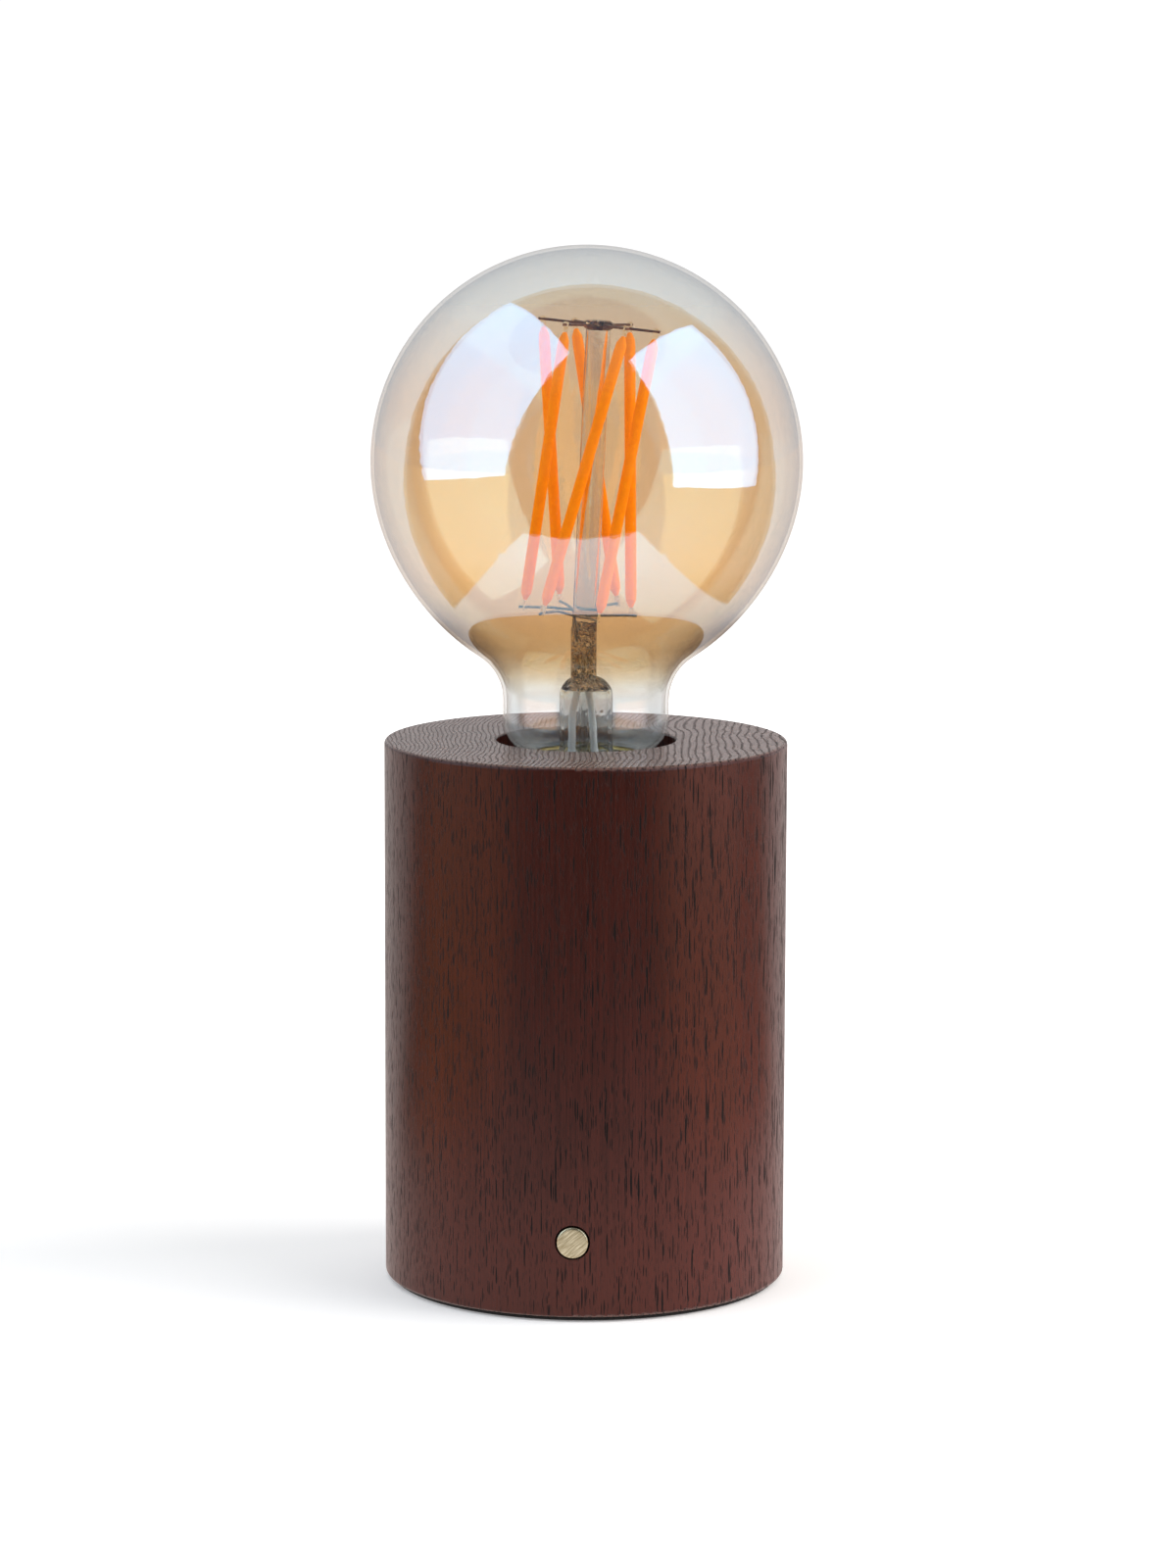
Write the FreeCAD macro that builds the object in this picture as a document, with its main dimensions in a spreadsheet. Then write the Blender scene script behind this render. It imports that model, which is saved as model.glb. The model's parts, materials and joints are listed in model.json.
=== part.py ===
# Bare bulb table lamp: a turned wooden base with a bore in its top, a lampholder in the bore,
# a screw-in globe lamp with six filaments, a push button at the front and the dimmer inside.
# Millimetres. +Z up, the button faces -Y, the origin is the middle of the underside.
import FreeCAD, Part
import Sketcher
import math
import os
from FreeCAD import Placement, Rotation, Vector

doc = FreeCAD.newDocument("bare_bulb_table_lamp")
sheet = doc.addObject("Spreadsheet::Sheet", "Dims")


# ---------------------------------------------------------------- driving dimensions
class Q:
    """A size together with the sheet expression that gives it."""

    def __init__(self, v, e):
        self.v, self.e = float(v), e

    def __add__(self, o):
        o = q(o)
        return Q(self.v + o.v, "(%s + %s)" % (self.e, o.e))

    __radd__ = __add__

    def __sub__(self, o):
        o = q(o)
        return Q(self.v - o.v, "(%s - %s)" % (self.e, o.e))

    def __rsub__(self, o):
        return q(o) - self

    def __mul__(self, o):
        o = q(o)
        return Q(self.v * o.v, "(%s * %s)" % (self.e, o.e))

    __rmul__ = __mul__

    def __truediv__(self, o):
        o = q(o)
        return Q(self.v / o.v, "(%s / %s)" % (self.e, o.e))

    def __neg__(self):
        return Q(-self.v, "(0 - %s)" % self.e)


def q(x):
    return x if isinstance(x, Q) else Q(x, "%.6g" % float(x) if x >= 0 else "(0 - %.6g)" % -float(x))


class Sizes:
    pass


D = Sizes()
row = [1]


def cell(alias, value, words=""):
    r = row[0]
    sheet.set("A%d" % r, words)
    sheet.set("B%d" % r, "%.6g" % value)
    sheet.setAlias("B%d" % r, alias)
    setattr(D, alias, Q(float("%.6g" % value), "Dims." + alias))
    row[0] += 1


for alias, value, words in [
    # wooden base
    ("base_rad", 45.0, "outer radius of the wooden cylinder"),
    ("pad_high", 1.0, "thickness of the non-slip pad"),
    ("pad_rad", 43.6, "radius of the non-slip pad"),
    ("base_top", 122.2, "height of the top face"),
    ("rim_round", 0.9, "round-over of the outer rims"),
    ("bore_rad", 20.0, "radius of the bore in the top"),
    ("bore_edge", 0.5, "round-over of the bore's edge"),
    ("bore_floor", 62.0, "height of the bore's floor"),
    ("web_low", 52.0, "underside of the web that carries the lampholder"),
    ("web_hole", 5.2, "radius of the hole for the nipple"),
    ("cavity_rad", 31.0, "radius of the hollow for the dimmer"),
    ("recess_rad", 38.0, "radius of the bottom plate's recess"),
    ("recess_top", 4.0, "height of the recess's ledge"),
    ("plate_rad", 37.8, "radius of the bottom plate"),
    ("screw_circle", 34.5, "radius of the circle of the plate's screws"),
    ("wood_screw_rad", 1.48, "radius of the plate's screws"),
    # push button
    ("button_z", 17.8, "height of the button's axis"),
    ("button_rad", 3.45, "radius of the button"),
    ("button_proud", 0.45, "how far the button stands out"),
    ("button_hole", 3.85, "radius of the button's hole"),
    ("stem_rad", 1.6, "radius of the button's stem"),
    ("button_depth", 12.5, "depth of the bushing's flange behind the front"),
    ("bushing_flange", 5.6, "radius of the bushing's flange"),
    ("bushing_pocket", 5.8, "radius of the bushing's counterbore"),
    ("bushing_in", 14.2, "depth of the bushing's inner face"),
    # cord inlet
    ("inlet_z", 17.0, "height of the cord inlet"),
    ("inlet_rad", 3.2, "bore of the grommet"),
    ("grommet_rad", 5.0, "outer radius of the grommet"),
    ("grommet_flange", 6.5, "radius of the grommet's flange"),
    # lampholder
    ("holder_rad", 19.4, "outer radius of the lampholder"),
    ("holder_top", 119.0, "height of the lampholder's rim"),
    ("holder_mouth", 14.2, "radius of the lampholder's mouth"),
    ("holder_low", 80.0, "lower end of the lampholder's shell"),
    ("insert_rad", 17.0, "outer radius of the insert"),
    ("insert_low", 84.5, "underside of the insert"),
    ("insert_floor", 88.5, "floor of the insert"),
    ("insert_bore", 13.95, "bore of the insert"),
    ("insert_top", 116.7, "top of the insert"),
    ("nipple_rad", 5.0, "outer radius of the M10 nipple"),
    ("nipple_bore", 3.6, "bore of the nipple"),
    ("nipple_low", 46.5, "lower end of the nipple"),
    ("nipple_top", 73.0, "upper end of the nipple"),
    # thread of the lamp cap, size E27
    ("pitch", 3.629, "pitch of the round thread"),
    ("male_crest", 13.1, "crest radius of the cap's thread"),
    ("male_root", 12.2, "root radius of the cap's thread"),
    ("female_major", 13.35, "major radius of the lampholder's thread"),
    ("female_minor", 12.45, "minor radius of the lampholder's thread"),
    ("cap_wall", 0.3, "sheet thickness of the lamp cap"),
    ("sleeve_wall", 0.4, "sheet thickness of the threaded sleeve"),
    ("cap_low", 95.0, "lower edge of the cap's shell"),
    ("cap_top", 118.9, "rim of the cap's shell"),
    ("collar_rad", 13.55, "radius of the cap's rim"),
    ("tip_z", 91.9, "height of the lamp's centre contact"),
    # globe
    ("globe_rad", 47.9, "radius of the glass globe"),
    ("globe_z", 184.07, "height of the globe's centre"),
    ("glass_wall", 0.8, "thickness of the glass"),
    ("neck_rad", 18.5, "radius of the neck"),
    ("belly_rad", 54.0, "radius of the lower side of the globe"),
    ("belly_z", 168.0, "height where the lower side begins"),
    ("throat_rad", 12.0, "radius of the hollow curve into the neck"),
    ("shoulder_rad", 7.5, "radius of the neck's lower shoulder"),
    ("shoulder_z", 126.5, "height where the shoulder begins"),
    ("sleeve_rad", 12.3, "radius of the glass inside the cap"),
    ("glass_low", 114.0, "lower end of the glass"),
    # glass mount inside the globe
    ("flare_rad", 5.95, "radius of the flare tube"),
    ("flare_wall", 0.9, "wall of the flare tube"),
    ("pinch_wide", 5.7, "width of the pinch"),
    ("pinch_deep", 9.0, "depth of the pinch"),
    ("column_rad", 2.75, "radius of the glass column"),
    ("filament_rad", 1.25, "radius of a filament"),
    ("wire_rad", 0.3, "radius of the support wires"),
    ("lead_rad", 0.9, "radius of an insulated lead"),
    # dimmer
    ("case_x", 20.0, "half width of the dimmer's case"),
    ("case_front", 22.0, "front of the case from the axis"),
    ("case_back", 18.0, "back of the case from the axis"),
    ("case_low", 4.0, "underside of the case"),
    ("case_top", 26.0, "rim of the case"),
    ("case_wall", 1.6, "wall of the case"),
    ("board_z", 10.2, "underside of the circuit board"),
    ("board_high", 1.6, "thickness of the circuit board"),
]:
    cell(alias, value, words)

# points where the arcs of the globe's outline meet, worked out from the radii above
R, zc, w = D.globe_rad.v, D.globe_z.v, D.glass_wall.v
R2, F = D.belly_rad.v, D.throat_rad.v
n2 = (math.sqrt(R * R - (zc - D.belly_z.v) ** 2) / R, (D.belly_z.v - zc) / R)
c2 = ((R - R2) * n2[0], zc + (R - R2) * n2[1])
c3r = D.neck_rad.v + F
c3 = (c3r, c2[1] - math.sqrt((R2 + F) ** 2 - (c3r - c2[0]) ** 2))
n3 = ((c3[0] - c2[0]) / (R2 + F), (c3[1] - c2[1]) / (R2 + F))
S, n4 = D.shoulder_rad.v, (math.cos(math.radians(80)), -math.sin(math.radians(80)))
c4 = (D.neck_rad.v - S, D.shoulder_z.v)
for alias, value, words in [
    ("crown_rad", 0.5, "radius of the flat where the globe was tipped off"),
    ("crown_z", zc + math.sqrt(R * R - 0.25), "height of that flat, outside"),
    ("crown_z_in", zc + math.sqrt((R - w) ** 2 - 0.25), "height of that flat, inside"),
    ("join_rad", R * n2[0], "globe to belly, outside, radius"),
    ("join_z", zc + R * n2[1], "globe to belly, outside, height"),
    ("join_rad_in", (R - w) * n2[0], "globe to belly, inside, radius"),
    ("join_z_in", zc + (R - w) * n2[1], "globe to belly, inside, height"),
    ("turn_rad", c2[0] + R2 * n3[0], "belly to throat, outside, radius"),
    ("turn_z", c2[1] + R2 * n3[1], "belly to throat, outside, height"),
    ("turn_rad_in", c2[0] + (R2 - w) * n3[0], "belly to throat, inside, radius"),
    ("turn_z_in", c2[1] + (R2 - w) * n3[1], "belly to throat, inside, height"),
    ("throat_z", c3[1], "throat to neck, height"),
    ("foot_rad", c4[0] + S * n4[0], "end of the shoulder, outside, radius"),
    ("foot_z", c4[1] + S * n4[1], "end of the shoulder, outside, height"),
    ("foot_rad_in", c4[0] + (S - w) * n4[0], "end of the shoulder, inside, radius"),
    ("foot_z_in", c4[1] + (S - w) * n4[1], "end of the shoulder, inside, height"),
]:
    cell(alias, value, words)

# ends of the six filaments: x, y, z of the top and the bottom, seen with the button 3.3 degrees
# to the left of the middle
view = math.radians(3.3)
FILAMENTS = {
    1: ((-9.65, 2.0, 213.94), (-6.04, 11.3, 153.45)),
    2: ((-4.84, -10.4, 213.39), (-13.62, 1.0, 153.30)),
    3: ((-2.53, 11.3, 212.96), (6.73, 10.5, 153.10)),
    4: ((8.0, -11.1, 212.58), (-9.18, -9.3, 153.17)),
    5: ((9.47, 10.2, 212.16), (9.90, -3.0, 152.00)),
    6: ((14.76, -1.7, 211.36), (2.92, -11.5, 151.69)),
}


def turned(p):
    """A point given across and along the view, in the lamp's own axes."""
    a, b, c = p
    return (a * math.cos(view) - b * math.sin(view), a * math.sin(view) + b * math.cos(view), c)


for n, ends in FILAMENTS.items():
    for which, p in zip(("top", "low"), ends):
        for axis, value in zip("xyz", turned(p)):
            cell("fil%d_%s_%s" % (n, which, axis), value, "filament %d, %s end, %s" % (n, which, axis))
doc.recompute()


# ---------------------------------------------------------------- helpers
nodes = {}


def keep(o, label):
    o.Label = label
    nodes[label] = o
    return o


def bind(o, prop, value):
    value = q(value)
    if "Dims." in value.e:
        o.setExpression(prop, value.e)
    else:
        head, _, tail = prop.partition(".")
        if not tail:
            setattr(o, head, value.v)


def place(o, pos=(0, 0, 0), rot=None):
    pos = [q(p) for p in pos]
    o.Placement = Placement(Vector(*[p.v for p in pos]), rot or Rotation())
    for axis, p in zip("xyz", pos):
        if "Dims." in p.e:
            o.setExpression("Placement.Base." + axis, p.e)
    return o


def plane(body, role):
    return [f for f in body.Origin.OriginFeatures if f.Role == role][0]


def draw(sk, points):
    """A closed outline of lines and arcs. A point (x, y) ends a line; (x, y, r, side) ends an arc of
    radius r whose centre is left (+1) or right (-1) of the way along it."""
    pts = [tuple(q(c) if i < 3 else c for i, c in enumerate(p)) for p in points]
    first = sk.GeometryCount
    geo, pos = [], []
    for i, p in enumerate(pts):
        a, b = pts[i - 1], p
        A, B = Vector(a[0].v, a[1].v, 0), Vector(b[0].v, b[1].v, 0)
        if len(p) == 2:
            geo.append(Part.LineSegment(A, B))
            pos.append((1, 2))
        else:
            r, side = p[2].v, p[3]
            mid, chord = (A + B) * 0.5, B - A
            rise = math.sqrt(max(r * r - chord.Length**2 / 4, 0))
            left = Vector(-chord.y, chord.x, 0).normalize()
            c = mid + left * (rise * side)
            s, e = (A, B) if side > 0 else (B, A)
            a0 = math.atan2(s.y - c.y, s.x - c.x)
            a1 = math.atan2(e.y - c.y, e.x - c.x)
            while a1 < a0:
                a1 += 2 * math.pi
            geo.append(Part.ArcOfCircle(Part.Circle(c, Vector(0, 0, 1), r), a0, a1))
            pos.append((1, 2) if side > 0 else (2, 1))
    sk.addGeometry(geo, False)
    n, cons, exprs = len(pts), [], []
    for i in range(n):
        j = (i + 1) % n
        cons.append(Sketcher.Constraint("Coincident", first + i, pos[i][1], first + j, pos[j][0]))
    for i, p in enumerate(pts):
        g, at = first + i, pos[i][1]
        for kind, value, line in (("DistanceX", p[0], -2), ("DistanceY", p[1], -1)):
            if value.e == "0":
                cons.append(Sketcher.Constraint("PointOnObject", g, at, line))
            elif value.v > 0:
                if "Dims." in value.e:
                    exprs.append((len(cons), value.e))
                cons.append(Sketcher.Constraint(kind, -1, 1, g, at, value.v))
            else:
                if "Dims." in value.e:
                    exprs.append((len(cons), (-value).e))
                cons.append(Sketcher.Constraint(kind, g, at, -1, 1, -value.v))
        if len(p) == 4:
            if "Dims." in p[2].e:
                exprs.append((len(cons), p[2].e))
            cons.append(Sketcher.Constraint("Radius", g, p[2].v))
    base = sk.ConstraintCount
    sk.addConstraint(cons)
    for k, e in exprs:
        sk.setExpression("Constraints[%d]" % (base + k), e)


def circle(sk, x, y, r):
    x, y, r = q(x), q(y), q(r)
    g = sk.addGeometry(Part.Circle(Vector(x.v, y.v, 0), Vector(0, 0, 1), r.v), False)
    for kind, value, line in (("DistanceX", x, -2), ("DistanceY", y, -1)):
        if value.e == "0":
            sk.addConstraint(Sketcher.Constraint("PointOnObject", g, 3, line))
        else:
            k = sk.addConstraint(
                Sketcher.Constraint(kind, -1, 1, g, 3, value.v)
                if value.v > 0
                else Sketcher.Constraint(kind, g, 3, -1, 1, -value.v)
            )
            if "Dims." in value.e:
                sk.setExpression("Constraints[%d]" % k, value.e if value.v > 0 else (-value).e)
    k = sk.addConstraint(Sketcher.Constraint("Radius", g, r.v))
    if "Dims." in r.e:
        sk.setExpression("Constraints[%d]" % k, r.e)


def sketch(body, role, name, lift=0):
    sk = body.newObject("Sketcher::SketchObject", name)
    sk.AttachmentSupport = [(plane(body, role), "")]
    sk.MapMode = "FlatFace"
    lift = q(lift)
    sk.AttachmentOffset = Placement(Vector(0, 0, lift.v), Rotation())
    if "Dims." in lift.e:
        sk.setExpression("AttachmentOffset.Base.z", lift.e)
    return sk


def turned_body(label, points, pos=(0, 0, 0), rot=None):
    """A PartDesign body turned about its own Z axis from an outline in its XZ plane."""
    body = doc.addObject("PartDesign::Body", label)
    sk = sketch(body, "XZ_Plane", label + "_outline")
    draw(sk, points)
    rev = body.newObject("PartDesign::Revolution", label + "_revolution")
    rev.Profile = sk
    rev.ReferenceAxis = (sk, ["V_Axis"])
    rev.Angle = 360
    sk.Visibility = False
    body.Tip = rev
    place(body, pos, rot)
    return body


def padded_body(label, role, points, length, lift=0, both=False, pos=(0, 0, 0), rot=None):
    """A PartDesign body padded from an outline."""
    body = doc.addObject("PartDesign::Body", label)
    sk = sketch(body, role, label + "_outline", lift)
    draw(sk, points)
    pad = body.newObject("PartDesign::Pad", label + "_pad")
    pad.Profile = sk
    bind(pad, "Length", length)
    if both:
        pad.SideType = "Symmetric"
    body.Tip = pad
    place(body, pos, rot)
    return body


def pocket(body, name, role, circles, length, lift=0, flip=False):
    """A PartDesign pocket of round holes. It must take something away."""
    doc.recompute()
    before = body.Shape.Volume
    sk = sketch(body, role, name + "_outline", lift)
    for c in circles:
        circle(sk, *c)
    cutter = body.newObject("PartDesign::Pocket", name)
    cutter.Profile = sk
    bind(cutter, "Length", length)
    cutter.Reversed = flip
    body.Tip = cutter
    doc.recompute()
    assert body.Shape.Volume < before - 0.01, (name, before, body.Shape.Volume)
    return cutter


def box(name, x0, x1, y0, y1, z0, z1):
    o = doc.addObject("Part::Box", name)
    x0, x1, y0, y1, z0, z1 = [q(v) for v in (x0, x1, y0, y1, z0, z1)]
    bind(o, "Length", x1 - x0)
    bind(o, "Width", y1 - y0)
    bind(o, "Height", z1 - z0)
    return place(o, (x0, y0, z0))


def rod(name, r, x, y, z, length, rot=None):
    o = doc.addObject("Part::Cylinder", name)
    bind(o, "Radius", r)
    bind(o, "Height", length)
    return place(o, (x, y, z), rot)


def cone(name, r1, r2, x, y, z, length, rot=None):
    o = doc.addObject("Part::Cone", name)
    bind(o, "Radius1", r1)
    bind(o, "Radius2", r2)
    bind(o, "Height", length)
    return place(o, (x, y, z), rot)


def fused(name, parts):
    o = doc.addObject("Part::MultiFuse", name)
    o.Shapes = parts
    return o


def cut(name, base, tools):
    tool = tools[0] if len(tools) == 1 else fused(name + "_tools", tools)
    o = doc.addObject("Part::Cut", name)
    o.Base, o.Tool = base, tool
    return o


def group(label, parts):
    o = doc.addObject("Part::Compound", label)
    o.Links = parts
    return keep(o, label)


def screw(name, r_head, head, r_shank, length, pos, rot=None, sunk=False):
    """A cross-recess screw. Its head's face is at its own z 0, and it points down."""
    if sunk:
        top = cone(name + "_head", r_shank, r_head, 0, 0, -head, head)
    else:
        top = rod(name + "_head", r_head, 0, 0, 0, head)
    shank = rod(name + "_shank", r_shank, 0, 0, -length, length)
    body = fused(name + "_blank", [top, shank])
    reach, face = 1.2 * r_shank, 0 if sunk else head
    deep = min(head * 0.6, 1.0)
    a = box(name + "_slot_a", -reach, reach, -0.3, 0.3, face - deep, face + 0.2)
    b = box(name + "_slot_b", -0.3, 0.3, -reach, reach, face - deep, face + 0.2)
    return place(cut(name, body, [a, b]), pos, rot)


def solid_feature(label, shape):
    o = doc.addObject("Part::Feature", label)
    o.Shape = shape
    o.Placement = Placement()
    return keep(o, label)


def bent_path(points, radius):
    """Straight runs through the points, joined by tangent arcs."""
    p = [Vector(*a) for a in points]
    if len(p) == 2:
        return Part.Wire([Part.LineSegment(p[0], p[1]).toShape()])
    edges, here = [], p[0]
    for a, b, c in zip(p, p[1:], p[2:]):
        u, v = (a - b), (c - b)
        lu, lv = u.Length, v.Length
        u.normalize()
        v.normalize()
        half = math.acos(max(-1, min(1, u.dot(v)))) / 2
        turn = math.pi / 2 - half
        r = min(radius, 0.45 * min(lu, lv) / math.tan(turn))
        cutback = r * math.tan(turn)
        start, end = b + u * cutback, b + v * cutback
        centre = b + (u + v).normalize() * (r / math.cos(turn))
        middle = centre + (b - centre).normalize() * r
        if (start - here).Length > 1e-6:
            edges.append(Part.LineSegment(here, start).toShape())
        edges.append(Part.Arc(start, middle, end).toShape())
        here = end
    edges.append(Part.LineSegment(here, p[-1]).toShape())
    return Part.Wire(edges)


def pipe(points, r, radius):
    path = bent_path(points, radius)
    way = Vector(*points[1]) - Vector(*points[0])
    ring = Part.Wire([Part.Circle(Vector(*points[0]), way, r).toShape()])
    made = path.makePipeShell([ring], True, False)
    want = math.pi * r * r * path.Length
    assert abs(made.Volume - want) < 0.05 * want, (made.Volume, want)
    return made


INWARD = Rotation(Vector(1, 0, 0), -90)
OUTBACK = Rotation(Vector(1, 0, 0), 90)
OVER = Rotation(Vector(1, 0, 0), 180)

# ---------------------------------------------------------------- wooden base
wood = turned_body(
    "wood_body",
    [
        (D.web_hole, D.bore_floor),
        (D.web_hole, D.web_low),
        (D.cavity_rad, D.web_low),
        (D.cavity_rad, D.recess_top),
        (D.recess_rad, D.recess_top),
        (D.recess_rad, D.pad_high),
        (D.base_rad - D.rim_round, D.pad_high),
        (D.base_rad, D.pad_high + D.rim_round, D.rim_round, 1),
        (D.base_rad, D.base_top - D.rim_round),
        (D.base_rad - D.rim_round, D.base_top, D.rim_round, 1),
        (D.bore_rad + D.bore_edge, D.base_top),
        (D.bore_rad, D.base_top - D.bore_edge, D.bore_edge, 1),
        (D.bore_rad, D.bore_floor),
    ],
)
keep(wood, "wood_body")
pocket(wood, "button_hole", "XZ_Plane", [(0, D.button_z, D.button_hole)], 60, flip=True)
pocket(wood, "bushing_counterbore", "XZ_Plane", [(0, D.button_z, D.bushing_pocket)], D.base_rad - D.button_depth, flip=True)
pocket(wood, "inlet_hole", "XZ_Plane", [(0, D.inlet_z, D.grommet_rad + 0.03)], 60)
pocket(wood, "inlet_counterbore", "XZ_Plane", [(0, D.inlet_z, D.grommet_flange + 0.15)], 10, lift=-(D.base_rad - 2))
hole = pocket(wood, "plate_screw_hole", "XY_Plane", [(D.screw_circle, 0, D.wood_screw_rad + 0.03)], 12, lift=D.recess_top, flip=True)
ring = wood.newObject("PartDesign::PolarPattern", "plate_screw_holes")
ring.Originals = [hole]
ring.Axis = ([f for f in wood.Origin.OriginFeatures if f.Role == "Z_Axis"][0], [""])
ring.Angle = 360
ring.Occurrences = 3
wood.Tip = ring
doc.recompute()

# ---------------------------------------------------------------- underside
pad = turned_body(
    "non_slip_pad",
    [(0, 0), (D.pad_rad - 0.3, 0), (D.pad_rad, 0.3, 0.3, 1), (D.pad_rad, D.pad_high), (0, D.pad_high)],
)
keep(pad, "non_slip_pad")

plate = rod("plate_blank", D.plate_rad, 0, 0, D.pad_high, D.recess_top - D.pad_high)
tools, screws = [], []
for i in range(3):
    a = math.radians(120 * i)
    x, y = D.screw_circle * math.cos(a), D.screw_circle * math.sin(a)
    tools.append(rod("plate_hole_%d" % i, D.wood_screw_rad + 0.12, x, y, D.pad_high - 1, 5))
    tools.append(cone("plate_sink_%d" % i, 3.15, D.wood_screw_rad + 0.12, x, y, D.pad_high, 1.65))
    screws.append(
        screw("plate_screw_%d" % i, 3.0, 1.5, D.wood_screw_rad.v, 12.5, (x, y, D.pad_high + 0.02), OVER, sunk=True)
    )
for i, x in enumerate((-9, 9)):
    tools.append(rod("plate_case_hole_%d" % i, 1.23, x, 0, D.recess_top - 2.2, 5))
keep(cut("bottom_plate", plate, tools), "bottom_plate")
group("bottom_plate_screws", screws)

# ---------------------------------------------------------------- lampholder
shell = turned_body(
    "lampholder_shell",
    [
        (17.3, D.holder_low),
        (D.holder_rad, D.holder_low),
        (D.holder_rad, D.holder_top - 0.8),
        (D.holder_rad - 0.8, D.holder_top, 0.8, 1),
        (D.holder_mouth + 0.8, D.holder_top),
        (D.holder_mouth, D.holder_top - 0.8, 0.8, 1),
        (D.holder_mouth, D.insert_top + 0.2),
        (17.3, D.insert_top + 0.2),
    ],
)
keep(shell, "lampholder_shell")

cap = turned_body(
    "lampholder_cap",
    [
        (D.nipple_rad + 0.04, D.bore_floor),
        (9.0, D.bore_floor),
        (9.0, 65.5),
        (10.4, 68.0),
        (D.holder_rad - 3.0, 71.6),
        (D.holder_rad, 74.6, 3.2, 1),
        (D.holder_rad, D.holder_low - 0.2),
        (17.2, D.holder_low - 0.2),
        (17.2, D.insert_low - 0.1),
        (15.5, D.insert_low - 0.1),
        (15.5, 75.4),
        (8.4, 70.6),
        (D.nipple_rad + 0.04, 70.6),
    ],
)
keep(cap, "lampholder_cap")

insert_blank = turned_body(
    "insert_blank",
    [
        (0, D.insert_low),
        (D.insert_rad, D.insert_low),
        (D.insert_rad, D.insert_top),
        (D.insert_bore, D.insert_top),
        (D.insert_bore, D.insert_floor),
        (0, D.insert_floor),
    ],
)
holes = [rod("insert_hole_%d" % i, 1.45, x, 0, D.insert_low - 1, 6) for i, x in enumerate((-9.5, 9.5))]
keep(cut("lampholder_insert", insert_blank, holes), "lampholder_insert")

centre_contact = padded_body(
    "lampholder_centre_contact",
    "XZ_Plane",
    [
        (-12.0, D.insert_floor),
        (-6.2, D.insert_floor),
        (-3.2, D.tip_z - 0.5),
        (3.4, D.tip_z - 0.5),
        (5.2, D.tip_z - 1.5),
        (5.5, D.tip_z - 1.1),
        (3.6, D.tip_z),
        (-3.4, D.tip_z),
        (-6.4, D.insert_floor + 0.5),
        (-12.0, D.insert_floor + 0.5),
    ],
    5.0,
    both=True,
)
keep(centre_contact, "lampholder_centre_contact")
side_contact = padded_body(
    "lampholder_side_contact",
    "XZ_Plane",
    [
        (7.6, D.insert_floor),
        (13.7, D.insert_floor),
        (13.7, 96.95),
        (13.2, 96.95),
        (13.2, D.insert_floor + 0.5),
        (7.6, D.insert_floor + 0.5),
    ],
    5.0,
    both=True,
)
keep(side_contact, "lampholder_side_contact")
group(
    "lampholder_terminal_screws",
    [
        screw("terminal_screw_%d" % i, 2.6, 2.0, 1.42, 3.9, (x, 0, D.insert_low - 0.02), OVER)
        for i, x in enumerate((-9.5, 9.5))
    ],
)

nipple = turned_body(
    "threaded_nipple",
    [
        (D.nipple_bore, D.nipple_low + 0.4),
        (D.nipple_bore + 0.4, D.nipple_low),
        (D.nipple_rad - 0.5, D.nipple_low),
        (D.nipple_rad, D.nipple_low + 0.5),
        (D.nipple_rad, D.nipple_top - 0.5),
        (D.nipple_rad - 0.5, D.nipple_top),
        (D.nipple_bore + 0.4, D.nipple_top),
        (D.nipple_bore, D.nipple_top - 0.4),
    ],
)
keep(nipple, "threaded_nipple")
washer = turned_body(
    "nipple_washer",
    [
        (D.nipple_rad + 0.3, D.web_low - 1.3),
        (10.0, D.web_low - 1.3),
        (10.0, D.web_low - 0.02),
        (D.nipple_rad + 0.3, D.web_low - 0.02),
    ],
)
keep(washer, "nipple_washer")
hexagon = doc.addObject("Part::Prism", "nut_blank")
hexagon.Polygon = 6
bind(hexagon, "Circumradius", 14.0 / math.sqrt(3))
bind(hexagon, "Height", 3.6)
place(hexagon, (0, 0, D.web_low - 4.95))
keep(cut("nipple_nut", hexagon, [rod("nut_bore", D.nipple_rad + 0.04, 0, 0, D.web_low - 6, 6)]), "nipple_nut")

# ---------------------------------------------------------------- round thread, in sheet metal
def ramp(z, a, b):
    """0 below a, 1 above b, smooth between."""
    u = min(max((z - a) / (b - a), 0), 1)
    return u * u * (3 - 2 * u)


def sheet_surface(mean, swing, z0, z1, pitch, n=32, step=12):
    """A periodic surface r = mean(z) + swing(z) cos(2 pi z / pitch - angle), by its poles."""
    spans = int(round((z1 - z0) / (pitch / step)))
    dz = (z1 - z0) / spans
    knots = [z0] * 4 + [z0 + dz * i for i in range(1, spans)] + [z1] * 4
    heights = [sum(knots[i + 1 : i + 4]) / 3 for i in range(spans + 3)]
    grow = 3 / (2 + math.cos(2 * math.pi / n))
    swell = 1.015 * 3 / (2 + math.cos(2 * math.pi * dz / pitch))
    poles = []
    for i in range(n):
        a = 2 * math.pi * i / n
        line = []
        for z in heights:
            r = grow * mean(z) + swell * swing(z) * math.cos(2 * math.pi * z / pitch - a)
            line.append(Vector(r * math.cos(a), r * math.sin(a), z))
        poles.append(line)
    surface = Part.BSplineSurface()
    surface.buildFromPolesMultsKnots(
        poles,
        [1] * (n + 1),
        [4] + [1] * (spans - 1) + [4],
        [i / n for i in range(n + 1)],
        [z0 + dz * i for i in range(spans + 1)],
        True,
        False,
        3,
        3,
    )
    return surface.toShape()


def round_edges(face):
    """The two closed edges of a tube-like face, lower first."""
    rings = [e for e in face.Edges if e.isClosed() and e.BoundBox.ZLength < 1e-4]
    return sorted(rings, key=lambda e: e.BoundBox.ZMin)


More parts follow.
